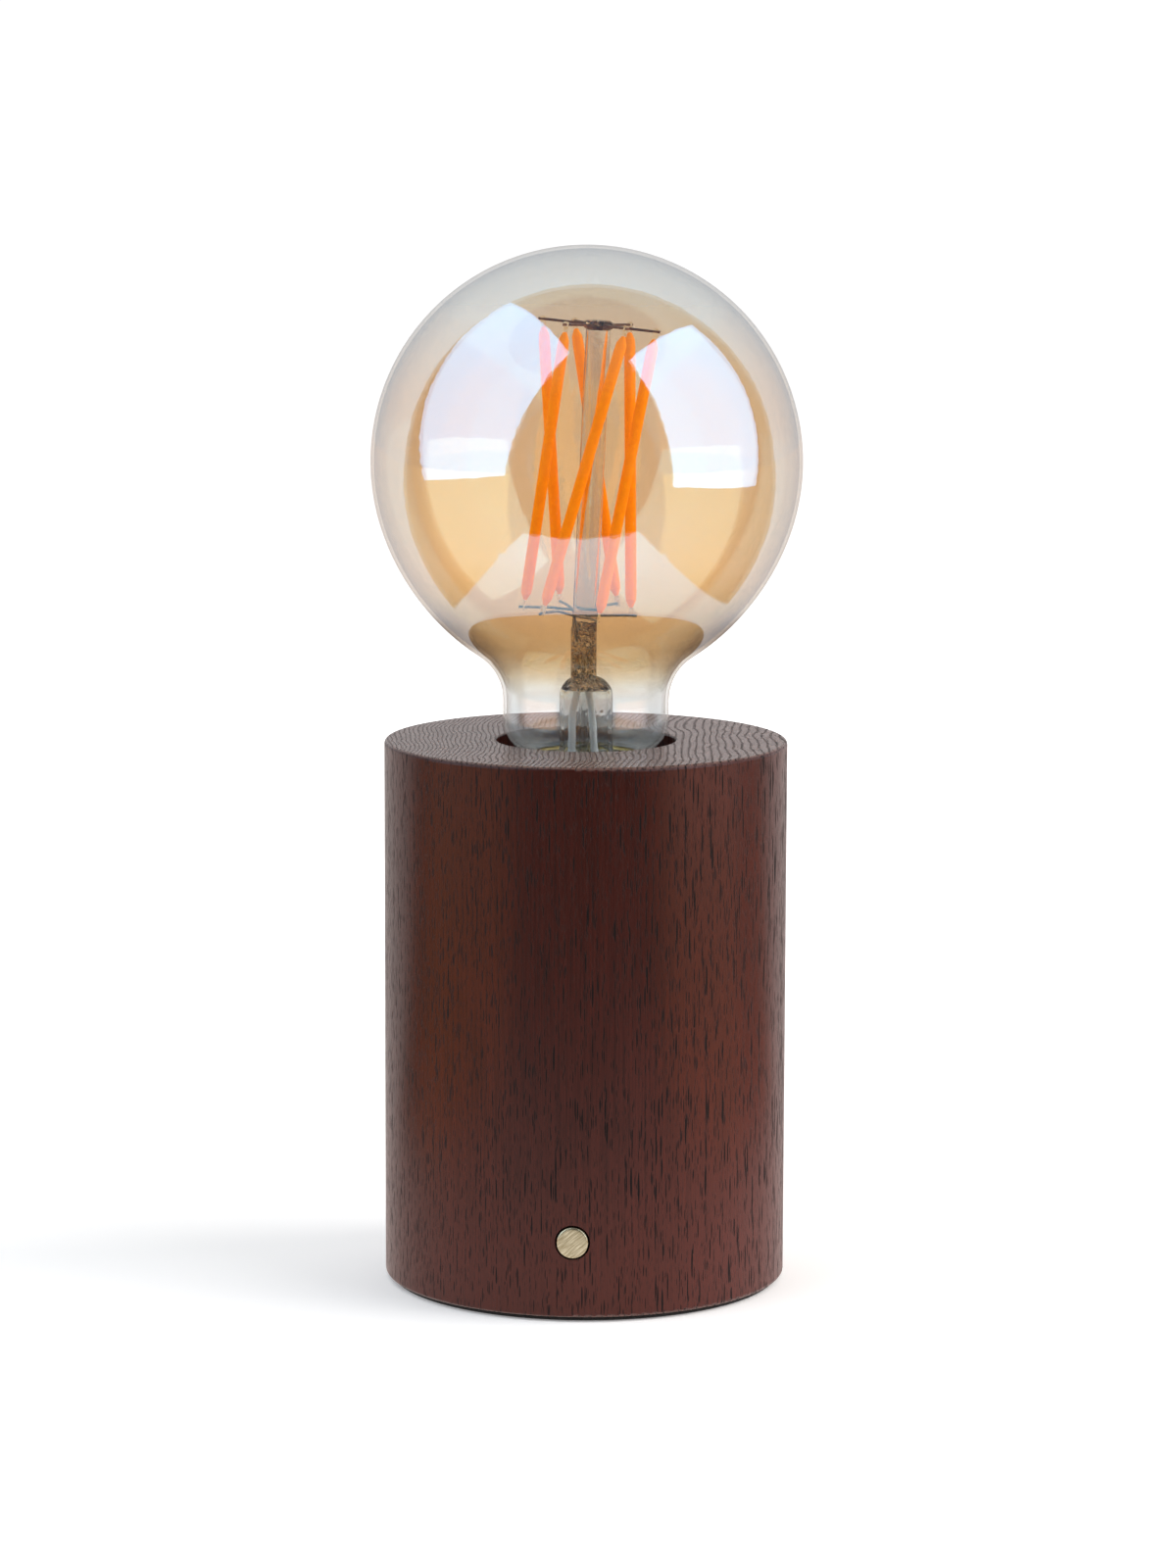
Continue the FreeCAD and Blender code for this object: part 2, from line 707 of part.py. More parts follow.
def sheet_tube(outer, inner):
    """A solid between two tube-like faces of the same height."""
    faces = [outer, inner]
    for o, i in zip(round_edges(outer), round_edges(inner)):
        flat = Part.makeFace([Part.Wire([o]), Part.Wire([i])], "Part::FaceMakerBullseye")
        faces.append(flat)
    shell = Part.makeShell(faces)
    shell.sewShape()
    made = Part.makeSolid(shell)
    if made.Volume < 0:
        made.reverse()
    made.fix(0.001, 0.001, 0.001)
    return made


P = D.pitch.v
mc, mr = D.male_crest.v, D.male_root.v
fj, fn = D.female_major.v, D.female_minor.v


def male_mean(z):
    low, high = ramp(z, 96.6, 98.8), ramp(z, 111.9, 113.9)
    r = mr + (0.5 * (mc + mr) - mr) * low
    r += (mc - 0.5 * (mc + mr)) * high
    return r + (D.collar_rad.v - mc) * ramp(z, 117.2, 118.7)


def male_swing(z):
    return 0.5 * (mc - mr) * ramp(z, 96.6, 98.8) * (1 - ramp(z, 111.9, 113.9))


def female_mean(z):
    return fj - 0.5 * (fj - fn) * ramp(z, 97.6, 99.6) * (1 - ramp(z, 109.8, 111.8))


def female_swing(z):
    return 0.5 * (fj - fn) * ramp(z, 97.6, 99.6) * (1 - ramp(z, 109.8, 111.8))


solid_feature(
    "bulb_cap_shell",
    sheet_tube(
        sheet_surface(male_mean, male_swing, D.cap_low.v, D.cap_top.v, P),
        sheet_surface(lambda z: male_mean(z) - D.cap_wall.v, male_swing, D.cap_low.v, D.cap_top.v, P),
    ),
)
solid_feature(
    "lampholder_thread_sleeve",
    sheet_tube(
        sheet_surface(lambda z: female_mean(z) + D.sleeve_wall.v, female_swing, 97.0, 116.3, P),
        sheet_surface(female_mean, female_swing, 97.0, 116.3, P),
    ),
)

# ---------------------------------------------------------------- leads from the dimmer to the lampholder
lr = D.lead_rad.v
for label, x0, x1, x2 in (("live_wire", 5.5, -1.6, -9.5), ("neutral_wire", 10.5, 1.6, 9.5)):
    solid_feature(
        label,
        pipe(
            [(x0, 8.5, 18.4), (x0, 8.5, 32.0), (x1, 0, 40.0), (x1, 0, 75.5), (x2, 0, 78.5), (x2, 0, 82.4)],
            lr,
            6.0,
        ),
    )

# ---------------------------------------------------------------- dimmer
cx, cf, cb, cl, ct, cw = D.case_x, D.case_front, D.case_back, D.case_low, D.case_top, D.case_wall
hollow = cut(
    "case_hollow",
    box("case_block", -cx, cx, -cf, cb, cl, ct),
    [box("case_inside", -(cx - cw), cx - cw, -(cf - cw), cb - cw, cl + cw, ct + 1)],
)
posts = [rod("case_post_%d" % i, 2.2, x, y, cl + cw - 0.2, D.board_z - cl - cw + 0.2) for i, (x, y) in enumerate(
    ((-12.5, -16.5), (12.5, -16.5), (-12.5, 11.5), (12.5, 11.5)))]
posts += [rod("lid_post_%d" % i, 2.0, x, 0, cl + cw - 0.2, ct - cl - cw + 0.2) for i, x in enumerate((-17.2, 17.2))]
case_tools = [
    rod("case_button_hole", 2.6, 0, -(cf + 1), D.button_z, 4, INWARD),
    rod("case_cord_hole", 4.0, 0, cb - 3, D.inlet_z, 4, INWARD),
]
case_tools += [rod("case_fix_hole_%d" % i, 1.3, x, 0, cl - 1, 4) for i, x in enumerate((-9, 9))]
case_tools += [rod("board_fix_hole_%d" % i, 1.02, x, y, D.board_z - 3.3, 4) for i, (x, y) in enumerate(
    ((12.5, -16.5), (-12.5, 11.5)))]
case_tools += [rod("lid_fix_hole_%d" % i, 1.02, x, 0, ct - 8, 9) for i, x in enumerate((-17.2, 17.2))]
keep(cut("dimmer_case", fused("case_body", [hollow] + posts), case_tools), "dimmer_case")

lid_tools = [box("lid_wire_slot", 4.0, 12.0, 7.0, 10.0, ct - 1, ct + 4)]
lid_tools += [rod("lid_hole_%d" % i, 1.2, x, 0, ct - 1, 4) for i, x in enumerate((-17.2, 17.2))]
lid = fused("lid_body", [
    box("lid_sheet", -cx, cx, -cf, cb, ct + 0.02, ct + cw),
    cut("lid_lip", box("lid_lip_block", -(cx - cw - 0.15), cx - cw - 0.15, 12.6, cb - cw - 0.15, ct - 1.6, ct + 0.1),
        [box("lid_lip_void", -16.2, 16.2, 12.0, cb - cw - 1.4, ct - 2, ct + 0.02)]),
])
keep(cut("dimmer_case_lid", lid, lid_tools), "dimmer_case_lid")
group("dimmer_case_screws", [screw("case_screw_%d" % i, 2.4, 1.4, 1.2, 3.6, (x, 0, cl + cw + 0.02)) for i, x in enumerate((-9, 9))])
group("dimmer_lid_screws", [screw("lid_screw_%d" % i, 2.2, 1.4, 1.0, 7.5, (x, 0, ct + cw + 0.02)) for i, x in enumerate((-17.2, 17.2))])

bz, bt = D.board_z, D.board_z + D.board_high
keep(cut("dimmer_board", box("board_sheet", -15.0, 15.0, -20.0, 14.4, bz + 0.02, bt),
         [rod("board_hole_%d" % i, 1.2, x, y, bz - 1, 4) for i, (x, y) in enumerate(((12.5, -16.5), (-12.5, 11.5)))]),
     "dimmer_board")
group("dimmer_board_screws", [screw("board_screw_%d" % i, 2.0, 1.2, 1.0, 4.4, (x, y, bt + 0.02)) for i, (x, y) in enumerate(
    ((12.5, -16.5), (-12.5, 11.5)))])

keep(cut("switch_housing", box("switch_block", -5.5, 5.5, -20.2, -13.2, bt + 0.02, bt + 12.0),
         [rod("switch_bore", 1.78, 0, -21, D.button_z, 6.0, INWARD)]), "switch_housing")
keep(turned_body("dimmer_capacitor",
                 [(0, bt + 0.02), (4.7, bt + 0.02), (5.0, bt + 0.9), (5.0, bt + 11.6), (4.4, bt + 12.2, 0.6, 1), (0, bt + 12.2)],
                 (-9.0, -5.0, 0)), "dimmer_capacitor")
coil = doc.addObject("Part::Torus", "coil_ring")
bind(coil, "Radius1", 4.2)
bind(coil, "Radius2", 2.0)
place(coil, (8.4, -5.0, bt + 2.6))
keep(fused("dimmer_inductor", [coil, box("coil_foot", 3.4, 13.4, -7.0, -3.0, bt + 0.02, bt + 1.6)]), "dimmer_inductor")
legs = [box("triac_leg_%d" % i, x - 0.4, x + 0.4, 5.0, 5.6, bt + 0.02, bt + 4.0) for i, x in enumerate((-11.54, -9.0, -6.46))]
keep(cut("dimmer_triac", fused("triac_blank", [
    box("triac_body", -14.0, -4.0, 3.6, 7.6, bt + 3.5, bt + 12.0),
    box("triac_tab", -14.0, -4.0, 6.3, 7.6, bt + 3.5, bt + 14.0)] + legs),
    [rod("triac_eye", 1.6, -9.0, 5.8, bt + 12.9 - 0.9, 3, INWARD)]), "dimmer_triac")
block_tools = [rod("block_entry_%d" % i, 1.0, x, 8.5, bt + 6.4, 5) for i, x in enumerate((5.5, 10.5))]
block_tools += [rod("block_screw_well_%d" % i, 1.5, x, 3.5, bt + 6.0, 3.0, INWARD) for i, x in enumerate((5.5, 10.5))]
keep(cut("terminal_block", box("block_body", 3.0, 13.0, 4.5, 12.5, bt + 0.02, bt + 10.0), block_tools), "terminal_block")

# ---------------------------------------------------------------- push button
bp = (0, -D.base_rad, D.button_z)
bushing = turned_body(
    "button_bushing",
    [
        (D.stem_rad + 0.06, 6.5),
        (D.button_hole - 0.03, 6.5),
        (D.button_hole - 0.03, D.button_depth + 0.02),
        (D.bushing_flange, D.button_depth + 0.02),
        (D.bushing_flange, D.bushing_in),
        (D.stem_rad + 0.06, D.bushing_in),
    ],
    bp, INWARD,
)
keep(bushing, "button_bushing")
cap_b = turned_body(
    "button_cap",
    [
        (0, -D.button_proud),
        (D.button_rad - 0.4, 0.04 - D.button_proud),
        (D.button_rad, 0.44 - D.button_proud, 0.4, 1),
        (D.button_rad, 2.6),
        (D.stem_rad + 0.01, 2.6),
        (D.stem_rad + 0.01, 1.2),
        (0, 1.2),
    ],
    bp, INWARD,
)
keep(cap_b, "button_cap")
stem = turned_body(
    "button_stem",
    [
        (0, 1.25),
        (D.stem_rad, 1.25),
        (D.stem_rad, D.bushing_in + 0.03),
        (1.2, D.bushing_in + 0.03),
        (1.2, D.bushing_in + 0.63),
        (D.stem_rad, D.bushing_in + 0.63),
        (D.stem_rad, 19.5),
        (D.stem_rad - 0.3, 19.8),
        (0, 19.8),
    ],
    bp, INWARD,
)
keep(stem, "button_stem")
clip = cut("button_clip", rod("clip_disc", 3.2, 0, 0, D.bushing_in + 0.06, 0.5),
           [rod("clip_eye", 1.24, 0, 0, D.bushing_in - 1, 3), box("clip_gap", -1.0, 1.0, 0, 4, D.bushing_in - 1, D.bushing_in + 2)])
place(clip, bp, INWARD)
keep(clip, "button_clip")
keep(turned_body("switch_actuator", [(0, 19.86), (1.5, 19.86), (1.7, 20.06), (1.7, 27.5), (0, 27.5)], bp, INWARD), "switch_actuator")
helix = doc.addObject("Part::Helix", "spring_path")
helix.Pitch, helix.Height, helix.Radius = 0.8, 3.2, 2.7
ring_w = doc.addObject("Part::Circle", "spring_wire")
ring_w.Radius = 0.21
ring_w.Placement = Placement(Vector(2.7, 0, 0), Rotation(Vector(1, 0, 0), 90))
spring = doc.addObject("Part::Sweep", "button_spring")
spring.Sections = [ring_w]
spring.Spine = (helix, ["Edge1"])
spring.Solid = True
spring.Frenet = True
place(spring, (0, -(D.base_rad - 2.94), D.button_z), INWARD)
keep(spring, "button_spring")

# ---------------------------------------------------------------- cord inlet
keep(turned_body(
    "cord_grommet",
    [
        (D.inlet_rad, 0.3),
        (D.grommet_flange - 0.4, 0.3),
        (D.grommet_flange, 0.7, 0.4, 1),
        (D.grommet_flange, 1.97),
        (D.grommet_rad, 1.97),
        (D.grommet_rad, 15.0),
        (D.inlet_rad, 15.0),
    ],
    (0, D.base_rad, D.inlet_z), OUTBACK), "cord_grommet")

# ---------------------------------------------------------------- lamp: glass
gw = D.glass_wall
glass = turned_body(
    "bulb_glass",
    [
        (0, D.crown_z),
        (D.crown_rad, D.crown_z),
        (D.join_rad, D.join_z, D.globe_rad, -1),
        (D.turn_rad, D.turn_z, D.belly_rad, -1),
        (D.neck_rad, D.throat_z, D.throat_rad, 1),
        (D.neck_rad, D.shoulder_z),
        (D.foot_rad, D.foot_z, D.shoulder_rad, -1),
        (D.sleeve_rad, D.glass_low + 3.5),
        (D.sleeve_rad, D.glass_low),
        (D.sleeve_rad - gw, D.glass_low),
        (D.sleeve_rad - gw, D.foot_z_in - 0.6),
        (D.foot_rad_in, D.foot_z_in),
        (D.neck_rad - gw, D.shoulder_z, D.shoulder_rad - gw, 1),
        (D.neck_rad - gw, D.throat_z),
        (D.turn_rad_in, D.turn_z_in, D.throat_rad + gw, -1),
        (D.join_rad_in, D.join_z_in, D.belly_rad - gw, 1),
        (D.crown_rad, D.crown_z_in, D.globe_rad - gw, 1),
        (0, D.crown_z_in),
    ],
)
keep(glass, "bulb_glass")

fr, fw = D.flare_rad, D.flare_wall
flare = turned_body(
    "flare_tube",
    [
        (0, 134.9),
        (1.6, 134.9),
        (fr - fw, 131.6, 3.6, -1),
        (fr - fw, 120.4),
        (10.4, 114.2, 7.5, 1),
        (11.3, 114.2),
        (11.3, 114.9),
        (fr, 120.6, 6.8, -1),
        (fr, 132.3),
        (2.6, 136.2, 4.6, 1),
        (0, 136.2),
    ],
)
column_axis = Vector(*turned((2.47, 0, 213.3))) - Vector(*turned((-0.5, 0, 145.0)))
column = rod("glass_column", D.column_rad, *turned((-0.5, 0, 145.0)), column_axis.Length, Rotation(Vector(0, 0, 1), column_axis))
pinch_at = turned((-0.55, 0, 0))
pinch = doc.addObject("Part::Box", "pinch")
bind(pinch, "Length", D.pinch_wide)
bind(pinch, "Width", D.pinch_deep)
pinch.Height = 11.6
pinch.Placement = Placement(Vector(pinch_at[0], pinch_at[1], 135.2), Rotation(Vector(0, 0, 1), 3.3)) * Placement(
    Vector(-D.pinch_wide.v / 2, -D.pinch_deep.v / 2, 0), Rotation())
soft = doc.addObject("Part::Fillet", "pinch_soft")
soft.Base = pinch
doc.recompute()
soft.Edges = [(i + 1, 1.2, 1.2) for i, e in enumerate(pinch.Shape.Edges) if e.BoundBox.ZLength > 10]
tail_at = turned((-0.4, 2.6, 0))
tail = cut("exhaust_tube", rod("exhaust_outer", 1.3, tail_at[0], tail_at[1], 110.6, 24.6), [rod("exhaust_bore", 0.8, tail_at[0], tail_at[1], 111.6, 21.0)])
keep(fused("bulb_stem", [flare, soft, column, tail]), "bulb_stem")
tip = Vector(*turned((2.47, 0, 213.3)))
keep(turned_body("stem_bead", [(0, 0.02), (2.3, 0.02), (3.5, 1.05, 1.3, 1), (2.3, 2.1, 1.3, 1), (0, 2.1)],
                 (tip.x, tip.y, tip.z), Rotation(Vector(0, 0, 1), column_axis)), "stem_bead")

# ---------------------------------------------------------------- lamp: filaments
tabs = []


def node_point(n, which):
    return Vector(*[getattr(D, "fil%d_%s_%s" % (n, which, a)).v for a in "xyz"])


hooks = {}
for n in range(1, 7):
    low, top = node_point(n, "low"), node_point(n, "top")
    way = top - low
    long = way.Length
    way.normalize()
    f = D.filament_rad
    body = turned_body(
        "filament_%d" % n,
        [
            (0, 0),
            (0.45, 0.1),
            (f - 0.1, 1.7),
            (f, 3.4),
            (f, long - 3.4),
            (f - 0.1, long - 1.7),
            (0.45, long - 0.1),
            (0, long),
        ],
        tuple(getattr(D, "fil%d_low_%s" % (n, a)) for a in "xyz"),
        Rotation(Vector(0, 0, 1), way),
    )
    keep(body, "filament_%d" % n)
    for which, at, out in (("low", low, -way), ("top", top, way)):
        tab = doc.addObject("Part::Box", "tab_%d_%s" % (n, which))
        tab.Length, tab.Width, tab.Height = 1.1, 0.35, 2.3
        turn = Rotation(Vector(0, 0, 1), out)
        tab.Placement = Placement(at + out * 0.03, turn) * Placement(Vector(-0.55, -0.175, 0), Rotation())
        tabs.append(tab)
        hooks[n, which] = at + out * 1.7
group("filament_tabs", tabs)


def xyz(v):
    return (v.x, v.y, v.z)


def joined(pipes):
    made = pipes[0]
    for other in pipes[1:]:
        made = made.fuse(other)
    return made.removeSplitter() if len(pipes) > 1 else made


wr = D.wire_rad.v
bead = tip + column_axis.normalize() * 1.05
upper = []
for a, b, lift in ((1, 6, 0.0), (2, 5, 0.0), (3, 4, 0.0)):
    pa, pb = hooks[a, "top"], hooks[b, "top"]
    side = (pa - pb).normalize()
    out_a, out_b = pa + side * 1.0, pb - side * 1.0
    upper.append(pipe([xyz(out_a), xyz(pa), xyz(bead), xyz(pb), xyz(out_b)], wr, 6.0))
solid_feature("upper_support_wires", joined(upper))

v1 = Vector(*turned((-2.8, 3.6, 150.7)))
v2 = Vector(*turned((-2.7, -3.6, 150.2)))
p1 = Vector(*turned((-2.5, 3.3, 146.4)))
p2 = Vector(*turned((-1.86, -3.3, 146.2)))
b1 = Vector(*turned((-4.4, 7.4, 151.5)))
back = joined([
    pipe([xyz(hooks[2, "low"] - Vector(1.2, 0, 0)), xyz(hooks[2, "low"]), xyz(Vector(*turned((-8.0, 4.4, 151.2)))), xyz(v1),
          xyz(Vector(*turned((2.6, 6.0, 151.3)))), xyz(hooks[3, "low"])], wr, 5.0),
    pipe([xyz(hooks[1, "low"]), xyz(b1), xyz(v1)], wr, 4.0),
    pipe([xyz(v1), xyz(p1), xyz(p1 - Vector(0, 0, 2.0))], wr, 2.0),
])
solid_feature("lower_support_wire_back", back)
front = joined([
    pipe([xyz(hooks[4, "low"] - Vector(0.8, 0.2, 0.4)), xyz(hooks[4, "low"]), xyz(Vector(*turned((-6.2, -6.2, 151.6)))), xyz(v2),
          xyz(Vector(*turned((0.6, -5.0, 149.9)))), xyz(hooks[6, "low"])], wr, 4.0),
    pipe([xyz(v2), xyz(Vector(*turned((4.0, -4.0, 150.4)))), xyz(hooks[5, "low"]), xyz(hooks[5, "low"] + Vector(1.3, 0, -0.1))], wr, 4.0),
    pipe([xyz(v2), xyz(p2), xyz(p2 - Vector(0, 0, 2.0))], wr, 2.0),
])
solid_feature("lower_support_wire_front", front)

# ---------------------------------------------------------------- lamp: leads, driver, cap
l1 = [turned(p) for p in ((-1.55, 0.3, 142.0), (-1.75, 0.0, 134.6), (-3.0, -0.5, 128.5), (-3.1, -0.6, 119.0), (-2.6, -0.6, 111.6))]
l2 = [turned(p) for p in ((0.35, -0.2, 142.0), (0.4, -0.3, 134.6), (1.3, -0.6, 128.5), (1.9, -0.7, 119.0), (2.4, -0.7, 111.6))]
solid_feature("lead_in_wires", Part.makeCompound([pipe(l1, 0.3, 8.0), pipe(l2, 0.3, 8.0)]))


def sleeve(line, r_out, r_in):
    return pipe(line[1:], r_out, 8.0)


s1 = [turned(p) for p in ((-1.9, -0.05, 133.8), (-3.0, -0.5, 128.5), (-3.1, -0.6, 119.0), (-2.7, -0.6, 113.2))]
s2 = [turned(p) for p in ((0.5, -0.33, 133.8), (1.3, -0.6, 128.5), (1.9, -0.7, 119.0), (2.3, -0.7, 113.2))]
solid_feature("lead_sleeves", Part.makeCompound([pipe(s1, 0.8, 8.0), pipe(s2, 0.8, 8.0)]))

keep(box("driver_board", -5.5, 5.5, -0.5, 0.5, 98.0, 111.0), "driver_board")
keep(turned_body("driver_capacitor", [(0, 0), (2.4, 0), (2.4, 8.6), (2.0, 9.0), (0, 9.0)], (0, 3.0, 99.5)), "driver_capacitor")
keep(box("driver_rectifier", -2.6, 2.6, -2.6, -0.52, 102.0, 106.2), "driver_rectifier")
solid_feature("driver_wires", Part.makeCompound([
    pipe([(0, 0, 97.9), (0, 0, 93.15)], 0.35, 2.0),
    pipe([(4.4, 0.9, 108.0), (4.4, 2.2, 110.0), (4.4, 7.4, 112.6), (4.4, 10.4, 112.8)], 0.35, 2.0),
]))
keep(turned_body(
    "cap_insulator",
    [
        (1.2, 93.0),
        (5.2, 93.0),
        (5.9, 92.5),
        (9.6, 93.7),
        (11.8, 94.95),
        (11.8, 97.2),
        (9.8, 97.2),
        (8.6, 95.6),
        (1.2, 95.2),
    ],
), "cap_insulator")
keep(turned_body(
    "cap_cement",
    [(D.sleeve_rad + 0.04, 114.4), (12.74, 114.4), (12.74, 117.2), (12.95, 118.2), (D.sleeve_rad + 0.04, 118.2)],
), "cap_cement")
keep(turned_body(
    "bulb_centre_contact",
    [(0, D.tip_z), (2.2, D.tip_z), (4.6, D.tip_z + 0.62), (4.6, D.tip_z + 1.02), (0, D.tip_z + 1.02)],
), "bulb_centre_contact")

# ---------------------------------------------------------------- check and write
doc.recompute()
for o in doc.Objects:
    assert not {"Invalid", "Error"} & set(o.State), (o.Name, o.State)
os.makedirs("parts", exist_ok=True)
for old in os.listdir("parts"):
    if old.endswith(".step") and old[:-5] not in nodes:
        os.remove(os.path.join("parts", old))
for label, o in nodes.items():
    s = o.Shape
    assert not s.isNull() and s.isValid(), label
    assert s.Solids and all(x.Volume > 0 for x in s.Solids), label
    print("%-28s solids %2d volume %10.1f  z %.2f to %.2f" % (label, len(s.Solids), s.Volume, s.BoundBox.ZMin, s.BoundBox.ZMax))
for label, o in nodes.items():
    o.Shape.exportStep("parts/%s.step" % label)
print(len(nodes), "sub-parts written")
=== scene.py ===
import json
import math

import bmesh
import bpy
from mathutils import Matrix, Vector


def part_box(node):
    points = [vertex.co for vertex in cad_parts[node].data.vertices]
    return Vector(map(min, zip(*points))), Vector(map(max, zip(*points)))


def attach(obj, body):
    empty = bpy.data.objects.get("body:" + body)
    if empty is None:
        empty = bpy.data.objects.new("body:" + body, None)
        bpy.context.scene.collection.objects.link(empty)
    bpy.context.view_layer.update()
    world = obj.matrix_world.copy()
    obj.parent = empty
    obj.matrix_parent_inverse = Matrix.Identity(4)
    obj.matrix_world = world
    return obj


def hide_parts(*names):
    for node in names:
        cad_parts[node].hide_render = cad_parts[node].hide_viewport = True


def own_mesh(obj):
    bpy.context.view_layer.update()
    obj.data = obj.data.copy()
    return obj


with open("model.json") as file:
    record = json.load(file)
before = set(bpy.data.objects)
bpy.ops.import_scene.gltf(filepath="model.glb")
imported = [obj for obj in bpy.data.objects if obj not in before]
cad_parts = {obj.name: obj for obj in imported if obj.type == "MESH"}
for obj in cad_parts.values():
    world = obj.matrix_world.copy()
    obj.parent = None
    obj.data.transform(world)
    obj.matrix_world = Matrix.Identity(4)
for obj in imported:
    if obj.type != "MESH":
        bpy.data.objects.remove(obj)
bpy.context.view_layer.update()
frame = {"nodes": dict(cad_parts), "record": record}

nodes = frame["nodes"]
slot_of = {s["node"]: s["material_slot"] for s in frame["record"]["subparts"]}
scene = bpy.context.scene
scene.view_settings.view_transform = "Standard"
scene.view_settings.look = "None"


def lin(r, g, b):
    """A display colour from 0 to 255, as the linear colour that shaders take."""
    def one(c):
        c = c / 255.0
        return c / 12.92 if c <= 0.04045 else ((c + 0.055) / 1.055) ** 2.4
    return (one(r), one(g), one(b), 1.0)


class Mat:
    """A material in the making: each method adds a node and gives back its output."""

    def __init__(self, name, tree=None):
        if tree is None:
            self.m = bpy.data.materials.new(name)
            self.m.use_nodes = True
            tree = self.m.node_tree
        self.t = tree
        self.t.nodes.clear()
        self.coords = None

    def node(self, kind, ins=(), **props):
        n = self.t.nodes.new("ShaderNode" + kind)
        for k, v in props.items():
            setattr(n, k, v)
        for k, v in dict(ins).items():
            self.put(n.inputs[k], v)
        return n

    def put(self, socket, v):
        if isinstance(v, bpy.types.NodeSocket):
            self.t.links.new(v, socket)
        elif v is not None:
            if socket.type == "RGBA" and len(v) == 3:
                v = tuple(v) + (1.0,)
            socket.default_value = v

    @property
    def pos(self):
        """Object coordinates in millimetres."""
        if self.coords is None:
            c = self.node("TexCoord").outputs["Object"]
            self.coords = self.scaled(c, 1000.0)
        return self.coords

    def scaled(self, v, s):
        if isinstance(s, (int, float)):
            return self.node("VectorMath", {0: v, "Scale": s}, operation="SCALE").outputs[0]
        return self.node("VectorMath", {0: v, 1: s}, operation="MULTIPLY").outputs[0]

    def xyz(self, v):
        return self.node("SeparateXYZ", {0: v}).outputs

    def join(self, x, y, z):
        return self.node("CombineXYZ", {0: x, 1: y, 2: z}).outputs[0]

    def ma(self, op, a, b=None, c=None, clamp=False):
        ins = {0: a}
        if b is not None:
            ins[1] = b
        if c is not None:
            ins[2] = c
        return self.node("Math", ins, operation=op, use_clamp=clamp).outputs[0]

    def noise(self, scale, vec=None, detail=3.0, rough=0.55, dist=0.0):
        n = self.node("TexNoise", {"Vector": vec or self.pos, "Scale": scale, "Detail": detail, "Roughness": rough, "Distortion": dist})
        return n.outputs["Fac"]

    def cells(self, scale, vec=None, rand=1.0, feature="F1", out="Distance"):
        n = self.node("TexVoronoi", {"Vector": vec or self.pos, "Scale": scale, "Randomness": rand}, feature=feature)
        return n.outputs[out]

    def span(self, v, a, b, c=0.0, d=1.0, smooth=False):
        n = self.node("MapRange", {"Value": v, "From Min": a, "From Max": b, "To Min": c, "To Max": d})
        n.interpolation_type = "SMOOTHSTEP" if smooth else "LINEAR"
        return n.outputs[0]

    def mix(self, fac, a, b, mode="MIX"):
        n = self.node("Mix", data_type="RGBA", blend_type=mode)
        for i, v in ((0, fac), (6, a), (7, b)):
            self.put(n.inputs[i], v)
        return n.outputs[2]

    def bump(self, h, strength=0.3, dist=0.0001, normal=None):
        ins = {"Height": h, "Strength": strength, "Distance": dist}
        if normal is not None:
            ins["Normal"] = normal
        return self.node("Bump", ins).outputs[0]

    def surface(self, shader):
        out = self.node("OutputMaterial")
        self.t.links.new(shader, out.inputs["Surface"])
        return self.m

    def principled(self, **kw):
        names = {
            "base": "Base Color", "rough": "Roughness", "metal": "Metallic", "normal": "Normal", "ior": "IOR",
            "spec": "Specular IOR Level", "trans": "Transmission Weight", "coat": "Coat Weight", "coat_rough": "Coat Roughness",
            "sub": "Subsurface Weight", "sub_scale": "Subsurface Scale", "sheen": "Sheen Weight", "aniso": "Anisotropic",
            "tangent": "Tangent", "emit": "Emission Color", "emit_by": "Emission Strength",
        }
        return self.node("BsdfPrincipled", {names[k]: v for k, v in kw.items()}).outputs[0]


# ---------------------------------------------------------------- materials

